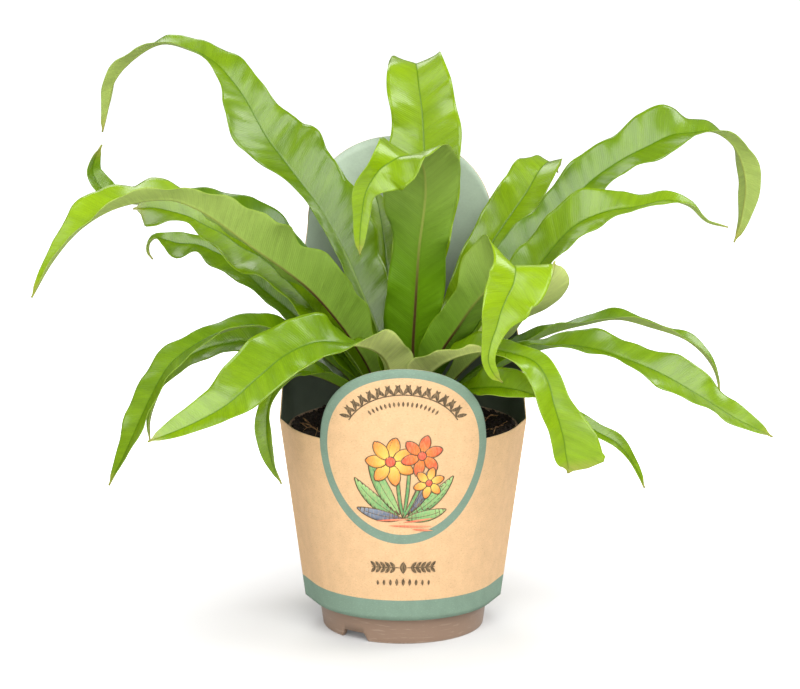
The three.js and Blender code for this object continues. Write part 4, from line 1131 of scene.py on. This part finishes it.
class Recipe:
    """Adds nodes to one tree and joins them. Most calls give the socket to use next."""

    def __init__(self, tree):
        self.tree = tree
        self.count = 0

    def node(self, kind, inputs=(), **settings):
        made = self.tree.nodes.new(kind)
        row, column = divmod(self.count, NODES_IN_ROW)
        made.location = (NODE_ACROSS * column, -NODE_DOWN * row)
        self.count += 1
        for key, value in settings.items():
            setattr(made, key, value)
        for key, value in dict(inputs).items():
            self.feed(made.inputs[key], value)
        return made

    def feed(self, socket, value):
        if isinstance(value, bpy.types.NodeSocket):
            self.tree.links.new(value, socket)
        else:
            socket.default_value = value

    def math(self, operation, first, second=0.0, third=0.0, clamp=False):
        return self.node(
            "ShaderNodeMath", {0: first, 1: second, 2: third}, operation=operation, use_clamp=clamp
        ).outputs[0]

    def times(self, first, second):
        return self.math("MULTIPLY", first, second)

    def plus(self, first, second, clamp=False):
        return self.math("ADD", first, second, clamp=clamp)

    def vector(self, operation, inputs, output=0):
        return self.node("ShaderNodeVectorMath", inputs, operation=operation).outputs[output]

    def chance(self, low, high, seed):
        """A number drawn between low and high for each point."""
        made = self.node("FunctionNodeRandomValue", {"Seed": seed}, data_type="FLOAT")
        for socket in made.inputs:
            if socket.enabled and socket.name in ("Min", "Max"):
                self.feed(socket, low if socket.name == "Min" else high)
        return next(socket for socket in made.outputs if socket.enabled)

    def ramp(self, value, low, high, start=0.0, end=1.0, smooth=True):
        """start where value is low or less, end where it is high or more."""
        return self.node(
            "ShaderNodeMapRange",
            {"Value": value, "From Min": low, "From Max": high, "To Min": start, "To Max": end},
            interpolation_type="SMOOTHSTEP" if smooth else "LINEAR",
        ).outputs[0]

    def blend(self, share, first, second, mode="MIX"):
        return self.node(
            "ShaderNodeMix", {0: share, 6: first, 7: second}, data_type="RGBA", blend_type=mode
        ).outputs[2]

    def shaded(self, colour, factor):
        """A colour with its three parts multiplied by one factor."""
        return self.blend(1.0, colour, self.join(factor, factor, factor), "MULTIPLY")

    def noise(self, place, scale, detail, **inputs):
        inputs = {"Vector": place, "Scale": scale, "Detail": detail, **inputs}
        return self.node("ShaderNodeTexNoise", inputs).outputs["Fac"]

    def mottle(self, place, patches, grain, contrast):
        """The mottle group's factor and grain."""
        return self.group(mottle_group(), {
            "Place": place, "Patches": patches, "Grain": grain, "Contrast": contrast,
        })

    def parts(self, field):
        """The three numbers of a vector attribute of the mesh."""
        return self.split(self.node("ShaderNodeAttribute", attribute_name=field).outputs["Vector"])

    def split(self, vector):
        return self.node("ShaderNodeSeparateXYZ", {0: vector}).outputs

    def join(self, x, y, z):
        return self.node("ShaderNodeCombineXYZ", {0: x, 1: y, 2: z}).outputs[0]

    def place(self):
        return self.node("ShaderNodeTexCoord").outputs["Object"]

    def bump(self, height, distance, strength):
        inputs = {"Height": height, "Distance": distance, "Strength": strength}
        return self.node("ShaderNodeBump", inputs).outputs[0]

    def stretched(self, place, scale, rotation=(0.0, 0.0, 0.0)):
        """The place turned and then scaled, to draw out a texture."""
        inputs = {"Vector": place, "Rotation": rotation, "Scale": scale}
        return self.node("ShaderNodeMapping", inputs).outputs[0]

    def group(self, tree, inputs):
        return self.node("ShaderNodeGroup", inputs, node_tree=tree).outputs

    def surface(self, colour, rough, shine, **more):
        """A principled surface with a colour, a roughness and a specular level."""
        inputs = {"Base Color": colour, "Roughness": rough, "Specular IOR Level": shine, **more}
        return self.node("ShaderNodeBsdfPrincipled", inputs).outputs[0]


def new_group(name, inputs, outputs):
    """An empty shader node group with the named sockets, its recipe, and the sockets inside it."""
    tree = bpy.data.node_groups.new(name, "ShaderNodeTree")
    add_sockets(tree, "INPUT", inputs)
    add_sockets(tree, "OUTPUT", outputs)
    recipe = Recipe(tree)
    return tree, recipe, recipe.node("NodeGroupInput").outputs


def mottle_group():
    """Soft light and dark patches with a fine grain over them, as a factor near one."""
    name = "Mottle"
    if name in bpy.data.node_groups:
        return bpy.data.node_groups[name]
    tree, recipe, given = new_group(
        name,
        {"Place": "Vector", "Patches": "Float", "Grain": "Float", "Contrast": "Float"},
        {"Factor": "Float", "Grain": "Float"},
    )
    patches = recipe.noise(given["Place"], given["Patches"], 3.0)
    grain = recipe.noise(given["Place"], given["Grain"], 4.0, Roughness=0.65)
    both = recipe.math("MULTIPLY_ADD", grain, 0.5, recipe.times(patches, 0.5))
    shift = recipe.times(recipe.math("SUBTRACT", both, 0.5), given["Contrast"])
    recipe.node("NodeGroupOutput", {"Factor": recipe.plus(shift, 1.0), "Grain": grain})
    return tree


def vein_group():
    """Side veins that run out from the midrib: their relief, and streaks that keep to them."""
    name = "Side Veins"
    if name in bpy.data.node_groups:
        return bpy.data.node_groups[name]
    tree, recipe, given = new_group(
        name,
        {"Across": "Float", "Along": "Float", "Spacing": "Float", "Slant": "Float"},
        {"Relief": "Float", "Streak": "Float", "Broad Streak": "Float"},
    )
    away = recipe.math("ABSOLUTE", given["Across"])
    line = recipe.math("SUBTRACT", given["Along"], recipe.times(away, given["Slant"]))
    side = recipe.math("SIGN", given["Across"])
    waver = recipe.noise(recipe.join(given["Across"], given["Along"], 0.0), 90.0, 1.0)
    bent = recipe.math("MULTIPLY_ADD", waver, 0.0007, line)
    turns = recipe.math("DIVIDE", bent, given["Spacing"])
    wave = recipe.math("SINE", recipe.times(turns, 2 * math.pi))
    spot = recipe.join(bent, recipe.times(side, 0.37), recipe.times(away, 0.12))
    streak = recipe.noise(spot, 620.0, 2.0)
    broad = recipe.noise(spot, 130.0, 1.0)
    recipe.node("NodeGroupOutput", {"Relief": wave, "Streak": streak, "Broad Streak": broad})
    return tree


def new_material(name):
    """An empty material, and the recipe to fill it."""
    made = bpy.data.materials.new(name)
    made.use_nodes = True
    made.node_tree.nodes.clear()
    return made, Recipe(made.node_tree)


def finish_material(recipe, surface):
    recipe.node("ShaderNodeOutputMaterial", {"Surface": surface})


def blade_material(colours, sizes, light):
    """A glossy young fern blade: side veins, pale midrib with a dark foot below, duller underside."""
    made, nodes = new_material("Fern blade")
    across, along, share = nodes.parts("blade_place")
    reach, side, youth = nodes.parts("growth")
    veins = nodes.group(vein_group(), {
        "Across": across, "Along": along, "Spacing": sizes.vein_step, "Slant": VEIN_SLANT,
    })
    mottle = nodes.mottle(nodes.place(), 46.0, 420.0, 0.34)["Factor"]
    top = nodes.ramp(side, 0.35, 0.65)
    fresh = nodes.plus(youth, nodes.ramp(reach, 0.2, 1.0, -0.12, 0.22))
    fresh = nodes.plus(fresh, nodes.ramp(veins["Broad Streak"], 0.3, 0.7, -0.08, 0.08), clamp=True)
    upper = nodes.blend(fresh, tuple(colours.mature), tuple(colours.young))
    # Partly painted light: the underside is mixed towards its brightened pale colour, more on the fronds
    # listed as palest and towards the tips.
    pale = nodes.plus(youth, nodes.ramp(reach, 0.25, 0.9, -0.08, 0.3), clamp=True)
    under = nodes.blend(pale, tuple(colours.under_deep), tuple(colours.under_pale_lit))
    colour = nodes.blend(top, under, upper)
    shade = nodes.times(mottle, nodes.ramp(veins["Streak"], 0.25, 0.75, 0.93, 1.06))
    shade = nodes.times(shade, nodes.ramp(veins["Relief"], -1.0, 1.0, 0.98, 1.02))
    # Painted shade: every blade is darkened over its first 50 millimetres from the crown, except the palest
    # undersides and the youngest blades.
    painted_foot_shade = nodes.math("MAXIMUM", nodes.ramp(along, 0.0, 0.05, 0.6, 1.0), nodes.ramp(youth, 0.85, 1.0))
    colour = nodes.shaded(colour, nodes.times(shade, painted_foot_shade))

    away = nodes.math("ABSOLUTE", across)
    rib_half = nodes.ramp(reach, 0.0, 1.0, 0.0007, 0.0003, smooth=False)
    rib = nodes.math("SUBTRACT", 1.0, nodes.math("DIVIDE", away, rib_half), clamp=True)
    rib = nodes.ramp(rib, 0.0, 0.55)
    # Painted shade: a thin line beside the midrib on the upper side is darkened towards the mature green,
    # as the shade in its groove.
    groove = nodes.math("SUBTRACT", nodes.math("DIVIDE", away, rib_half), 1.25)
    groove = nodes.ramp(nodes.math("ABSOLUTE", groove), 0.0, 0.5, 0.3, 0.0)
    colour = nodes.blend(nodes.times(groove, top), colour, tuple(colours.mature))
    foot = nodes.times(nodes.ramp(reach, 0.3, 0.52, 0.95, 0.0), nodes.math("SUBTRACT", 1.0, top))
    foot = nodes.times(foot, nodes.ramp(youth, 0.85, 1.0, 1.0, 0.1))
    rib_top = nodes.blend(nodes.ramp(reach, 0.2, 0.5), tuple(colours.rib), tuple(colours.mature))
    rib_tone = nodes.blend(top, tuple(colours.rib_under), rib_top)
    colour = nodes.blend(nodes.times(rib, 0.7), colour, rib_tone)
    colour = nodes.blend(nodes.times(rib, foot), colour, tuple(colours.rib_foot))
    margin = nodes.ramp(nodes.math("ABSOLUTE", share), 0.955, 1.0, 0.0, 0.4)
    colour = nodes.blend(margin, colour, tuple(colours.young))
    dry = nodes.ramp(veins["Streak"], 0.3, 0.6, 0.3, 0.8)
    dry = nodes.times(nodes.ramp(reach, 0.955, 1.0), dry)
    colour = nodes.blend(dry, colour, tuple(colours.tip))

    coat = nodes.times(top, nodes.math("MULTIPLY_ADD", rib, -0.55, 0.7))
    relief = nodes.math("MULTIPLY_ADD", veins["Streak"], 1.4, nodes.times(veins["Relief"], 0.2))
    normal = nodes.bump(relief, 0.00025, 0.5)
    rough = nodes.ramp(veins["Streak"], 0.2, 0.8, -0.03, 0.05)
    rough = nodes.plus(rough, nodes.ramp(side, 0.35, 0.65, 0.46, 0.3))
    skin = nodes.surface(colour, rough, 0.2, **{
        "Normal": normal, "Coat Weight": coat, "Coat Roughness": 0.25, "Coat IOR": 1.6,
    })
    glow = nodes.blend(1.0, colour, (1.0, 1.0, 0.55, 1), "MULTIPLY")
    through = nodes.node("ShaderNodeBsdfTranslucent", {"Color": glow, "Normal": normal}).outputs[0]
    both = nodes.node("ShaderNodeMixShader", {0: light.through, 1: skin, 2: through})
    finish_material(nodes, both.outputs[0])
    return made


def card_material(colours, sizes):
    """Kraft card with flecks and fibres, a printed ring and band outside, a coated face inside."""
    made, nodes = new_material("Kraft card")
    across, height, side = nodes.parts("card_place")
    place = nodes.place()
    flat = nodes.join(across, height, 0.0)
    mottle = nodes.mottle(flat, 150.0, 900.0, 0.5)
    fine = nodes.noise(nodes.join(nodes.times(across, 0.35), height, 0.0), 2100.0, 3.0)
    fleck = nodes.ramp(fine, 0.56, 0.72, 0.0, 0.65)
    kraft = nodes.blend(fleck, tuple(colours.kraft), tuple(colours.fibre))
    pale = nodes.ramp(nodes.noise(flat, 1300.0, 2.0), 0.58, 0.75, 0.0, 0.4)
    kraft = nodes.blend(pale, kraft, PALE_FLECK)

    rise = nodes.math("SUBTRACT", height, TAB_CENTRE * MM)
    squares = nodes.plus(nodes.math("POWER", across, 2.0), nodes.math("POWER", rise, 2.0))
    ring_at = nodes.math("SQRT", squares)
    ring = nodes.math("GREATER_THAN", ring_at, TAB_RADIUS * MM - sizes.ring_width)
    ring = nodes.times(ring, nodes.math("LESS_THAN", ring_at, (TAB_RADIUS + 0.3) * MM))
    front = nodes.math("LESS_THAN", nodes.split(place)[1], AXIS_Y)
    ring = nodes.times(ring, front)
    band = nodes.math("LESS_THAN", height, SLEEVE_BOTTOM * MM + sizes.band_height)
    printed = nodes.math("MAXIMUM", ring, band)
    ink = nodes.blend(nodes.times(fleck, 0.5), tuple(colours.sage), FADED_SAGE)
    outer = nodes.blend(printed, kraft, ink)
    # Painted shade: the lining darkens towards the bottom, inside the sleeve.
    lined = nodes.blend(nodes.ramp(height, 0.14, 0.23, 0.85, 0.0), tuple(colours.lining), PAINTED_LINING_SHADE)
    out = nodes.math("GREATER_THAN", side, 0.5)
    colour = nodes.blend(out, lined, outer)
    colour = nodes.shaded(colour, mottle["Factor"])
    crease = nodes.math("SUBTRACT", nodes.math("ABSOLUTE", across), SLEEVE_RADIUS * MM * math.pi / 2)
    worn = nodes.ramp(nodes.math("ABSOLUTE", crease), 0.0, 0.0007, 0.45, 0.0)
    worn = nodes.times(worn, nodes.ramp(mottle["Grain"], 0.4, 0.6))
    colour = nodes.blend(worn, colour, WORN_CREASE)
    edge = nodes.times(nodes.ramp(side, 0.05, 0.2), nodes.ramp(side, 0.8, 0.95, 1.0, 0.0))
    colour = nodes.blend(edge, colour, CUT_EDGE)

    rough = nodes.ramp(mottle["Grain"], 0.3, 0.7, -0.06, 0.06)
    rough = nodes.plus(nodes.ramp(out, 0.0, 1.0, 0.4, 0.8), rough)
    normal = nodes.bump(nodes.plus(fine, mottle["Grain"]), 0.00008, 0.5)
    finish_material(nodes, nodes.surface(colour, rough, 0.4, Normal=normal))
    return made


def ink_material():
    """Printing inks, each shape with its own, worn thin over the card's grain like coloured pencil."""
    made, nodes = new_material("Printed inks")
    ink = nodes.node("ShaderNodeAttribute", attribute_name="ink").outputs["Color"]
    place = nodes.place()
    lined = nodes.stretched(place, (1.0, 1.0, 0.2), (0.0, 0.6, 0.0))
    hatch = nodes.ramp(nodes.noise(lined, 1900.0, 2.0), 0.42, 0.66)
    colour = nodes.blend(nodes.times(hatch, 0.26), ink, BARE_CARD)
    mottle = nodes.mottle(place, 160.0, 900.0, 0.5)
    colour = nodes.shaded(colour, mottle["Factor"])
    rough = nodes.ramp(hatch, 0.0, 1.0, 0.55, 0.8)
    finish_material(nodes, nodes.surface(colour, rough, 0.4))
    return made


def plastic_material(colours):
    """Satin moulded plastic with a fine grain, faint scuffs and dust towards the foot."""
    made, nodes = new_material("Pot plastic")
    place = nodes.place()
    mottle = nodes.mottle(place, 30.0, 1500.0, 0.16)
    colour = nodes.shaded(tuple(colours.plastic), mottle["Factor"])
    height = nodes.split(place)[2]
    scuffs = nodes.noise(nodes.stretched(place, (1.0, 1.0, 9.0)), 120.0, 5.0)
    scuffs = nodes.ramp(scuffs, 0.58, 0.7)
    dust = nodes.times(scuffs, nodes.ramp(height, 0.0, 0.05, 0.2, 0.06))
    colour = nodes.blend(dust, colour, DUST)
    rub = nodes.ramp(height, 0.0, 0.0012, 0.5, 0.0)
    rub = nodes.times(rub, nodes.ramp(mottle["Grain"], 0.4, 0.6))
    colour = nodes.blend(rub, colour, RUBBED_FOOT)
    scuffed = nodes.ramp(scuffs, 0.0, 1.0, 0.42, 0.56)
    rough = nodes.plus(scuffed, nodes.ramp(mottle["Grain"], 0.3, 0.7, -0.04, 0.04))
    normal = nodes.bump(mottle["Grain"], 0.00006, 0.6)
    finish_material(nodes, nodes.surface(colour, rough, 0.5, Normal=normal))
    return made


def earthy_material(name, dark, pale, scale, depth, rough):
    """Rough natural stuff in two tones: soil, bark, roots or scales."""
    made, nodes = new_material(name)
    place = nodes.place()
    tone = nodes.ramp(nodes.noise(place, scale, 5.0, Roughness=0.7), 0.34, 0.68)
    colour = nodes.blend(tone, tuple(dark), tuple(pale))
    mottle = nodes.mottle(place, scale * 0.2, scale * 3, 0.9)
    colour = nodes.shaded(colour, mottle["Factor"])
    uneven = nodes.ramp(mottle["Grain"], 0.3, 0.7, rough - 0.08, min(rough + 0.08, 1.0))
    normal = nodes.bump(mottle["Grain"], depth, 0.8)
    finish_material(nodes, nodes.surface(colour, uneven, 0.35, Normal=normal))
    return made


def floor_material(colour):
    """A plain floor that glows for the camera only, more and more away from the pot."""
    made, nodes = new_material("Studio floor")
    seen = nodes.node("ShaderNodeLightPath").outputs["Is Camera Ray"]
    away = nodes.vector("LENGTH", {0: nodes.place()}, "Value")
    glow = nodes.times(seen, nodes.ramp(away, 0.05, 0.3, 0.1, 1.0))
    surface = nodes.surface(tuple(colour), 0.9, 0.1, **{
        "Emission Color": (1, 1, 1, 1), "Emission Strength": glow,
    })
    finish_material(nodes, surface)
    return made


# Operators


class FernOperator:
    """What every operator shares: its options, and the scene's settings at hand."""

    bl_options = {"REGISTER", "UNDO"}

    @property
    def sizes(self):
        return bpy.context.scene.fern_sizes

    @property
    def counts(self):
        return bpy.context.scene.fern_counts

    @property
    def colours(self):
        return bpy.context.scene.fern_colours

    @property
    def light(self):
        return bpy.context.scene.fern_light


class FERN_OT_pot(FernOperator, Operator):
    """Turn the pot with its rim, floor and notched foot ring"""

    bl_idname = "fern.pot"
    bl_label = "Pot"

    def execute(self, context):
        add_piece("pot_body", pot_mesh(), plastic_material(self.colours), "pot_plastic", "pot")
        return {"FINISHED"}


class FERN_OT_sleeve(FernOperator, Operator):
    """Fold the card sleeve with its round tab and tall panel, and ink its print"""

    bl_idname = "fern.sleeve"
    bl_label = "Card Sleeve"

    def execute(self, context):
        card = card_material(self.colours, self.sizes)
        add_piece("card_sleeve_wrap", sleeve_mesh(self.sizes.card / MM), card, "sleeve_card", "card_sleeve")
        add_piece("sleeve_print", print_mesh(self.colours), ink_material(), "sleeve_card")
        return {"FINISHED"}


class FERN_OT_soil(FernOperator, Operator):
    """Give the soil its finish and strew crumbs, bark chips and pale fibres on it"""

    bl_idname = "fern.soil"
    bl_label = "Soil"

    def execute(self, context):
        colours, sizes, counts = self.colours, self.sizes, self.counts
        peat = earthy_material("Peat", DARK_PEAT, colours.peat, 420, 0.0006, 0.92)
        bark = earthy_material("Bark", DARK_BARK, colours.bark, 700, 0.0003, 0.85)
        root = earthy_material("Root", DARK_ROOT, colours.root, 600, 0.0001, 0.8)
        finish_node("soil", peat)
        rim = RIM_TOP_RADIUS - RIM_WALL
        everywhere = soil_ground(CROWN_RADIUS + 0.5, rim - sizes.crumb / MM / 3)
        clear_of_walls = soil_ground(CROWN_RADIUS + 0.8 * sizes.chip / MM, rim - 0.55 * sizes.chip / MM)
        strew(
            "soil_crumbs", everywhere, crumb_shape(), "potting_soil", Density=float(counts.crumbs),
            Seed=counts.seed, Smallest=sizes.crumb * 0.3, Largest=sizes.crumb, Finish=peat,
            **{"Least Tilt": 0.0, "Most Tilt": math.pi, "Roughening": 0.0005},
        )
        strew(
            "bark_chips", clear_of_walls, chip_shape(), "potting_soil", Density=float(counts.chips),
            Seed=counts.seed + 5, Smallest=sizes.chip * 0.4, Largest=sizes.chip, Finish=bark,
            **{"Least Tilt": -0.5, "Most Tilt": 0.5, "Roughening": 0.0004},
        )
        add_piece("root_fibres", fibre_mesh(counts.fibres, counts.seed), root, "potting_soil")
        return {"FINISHED"}


class FERN_OT_crown(FernOperator, Operator):
    """Give the crown its finish and cover it with papery scales"""

    bl_idname = "fern.crown"
    bl_label = "Crown"

    def execute(self, context):
        colours, sizes, counts = self.colours, self.sizes, self.counts
        husk = earthy_material("Papery scales", DARK_SCALE, colours.scale, 520, 0.0002, 0.75)
        finish_node("crown", husk)
        strew(
            "crown_scale_cover", crown_ground(), scale_shape(), "crown_scales",
            Density=float(counts.scales), Seed=counts.seed + 9, Smallest=sizes.scale * 0.45,
            Largest=sizes.scale, Finish=husk,
            **{"Least Tilt": -0.9, "Most Tilt": -0.25, "Roughening": 0.0002},
        )
        return {"FINISHED"}


class FERN_OT_fronds(FernOperator, Operator):
    """Grow every frond with its waves, puckers and midrib"""

    bl_idname = "fern.fronds"
    bl_label = "Fronds"

    def execute(self, context):
        blade = blade_material(self.colours, self.sizes, self.light)
        for order, name in enumerate(FRONDS):
            add_piece(name + "_blade", frond_mesh(name, order, self.sizes), blade, "frond_blade", name)
        return {"FINISHED"}


class FERN_OT_stage(FernOperator, Operator):
    """Lay the pale floor, hang the soft lamps and place the camera"""

    bl_idname = "fern.stage"
    bl_label = "Studio"

    def execute(self, context):
        scene = bpy.context.scene
        floor = bpy.data.meshes.new("floor")
        corners = [(x * FLOOR_HALF, y * FLOOR_HALF, 0) for x, y in ((-1, -1), (1, -1), (1, 1), (-1, 1))]
        floor.from_pydata(corners, [], [(0, 1, 2, 3)])
        floor.materials.append(floor_material(self.colours.floor))
        ground = bpy.data.objects.new("floor", floor)
        scene.collection.objects.link(ground)

        sky = bpy.data.worlds.new("Studio sky")
        sky.use_nodes = True
        nodes = Recipe(sky.node_tree)
        sky.node_tree.nodes.clear()
        even = nodes.node("ShaderNodeBackground", {"Color": (1, 1, 1, 1), "Strength": self.light.sky})
        nodes.node("ShaderNodeOutputWorld", {"Surface": even.outputs[0]})
        scene.world = sky

        aim = Vector((AXIS_X, AXIS_Y, AIM_HEIGHT))
        for name, place, size, power in (
            ("key", (0.2, -1.05, 1.0), 1.3, self.light.key),
            ("low", (-0.65, -1.15, 0.3), 0.8, self.light.low),
            ("side", (1.0, 0.15, 0.9), 0.8, self.light.side),
            ("fill", (-0.9, -0.15, 1.1), 0.7, self.light.fill),
            ("back", (-0.3, 0.9, 1.1), 0.8, self.light.back),
        ):
            lamp = bpy.data.lights.new(name, "AREA")
            lamp.shape = "DISK"
            lamp.size = size
            lamp.energy = power
            hung = bpy.data.objects.new(name, lamp)
            hung.location = place
            hung.rotation_euler = (aim - Vector(place)).to_track_quat("-Z", "Y").to_euler()
            scene.collection.objects.link(hung)

        view = bpy.data.cameras.new("camera")
        view.sensor_fit = "HORIZONTAL"
        view.sensor_width = SENSOR_WIDTH
        view.lens = SENSOR_WIDTH * FOCAL_LENGTH / PICTURE_WIDTH
        view.clip_end = CLIP_END
        camera = bpy.data.objects.new("camera", view)
        camera.location = Vector(CAMERA_PLACE) * MM + Vector((AXIS_X, AXIS_Y, 0))
        camera.rotation_euler = (math.radians(90 - CAMERA_DROP), 0, 0)
        scene.collection.objects.link(camera)
        scene.camera = camera
        scene.view_settings.view_transform = "Standard"
        return {"FINISHED"}


class FERN_PT_panel(Panel):
    """Lists the fern's operators and all its settings"""

    bl_label = "Potted Strap Fern"
    bl_idname = "FERN_PT_panel"
    bl_space_type = "VIEW_3D"
    bl_region_type = "UI"
    bl_category = "Fern"

    def draw(self, context):
        for operator in OPERATORS:
            self.layout.operator(operator.bl_idname)
        for held in SETTINGS:
            settings = getattr(context.scene, held)
            box = self.layout.box()
            for name in settings.__annotations__:
                box.prop(settings, name)


OPERATORS = (FERN_OT_pot, FERN_OT_sleeve, FERN_OT_soil, FERN_OT_crown, FERN_OT_fronds, FERN_OT_stage)
SETTINGS = {
    "fern_sizes": FernSizes,
    "fern_counts": FernCounts,
    "fern_colours": FernColours,
    "fern_light": FernLight,
}
CLASSES = (*SETTINGS.values(), *OPERATORS, FERN_PT_panel)


def register():
    for made in CLASSES:
        bpy.utils.register_class(made)
    for name, settings in SETTINGS.items():
        setattr(bpy.types.Scene, name, PointerProperty(type=settings))


def unregister():
    for name in SETTINGS:
        delattr(bpy.types.Scene, name)
    for made in reversed(CLASSES):
        bpy.utils.unregister_class(made)


def main():
    register()
    bpy.ops.fern.pot()
    bpy.ops.fern.sleeve()
    bpy.ops.fern.soil()
    bpy.ops.fern.crown()
    bpy.ops.fern.fronds()
    bpy.ops.fern.stage()


if __name__ == "__main__":
    main()
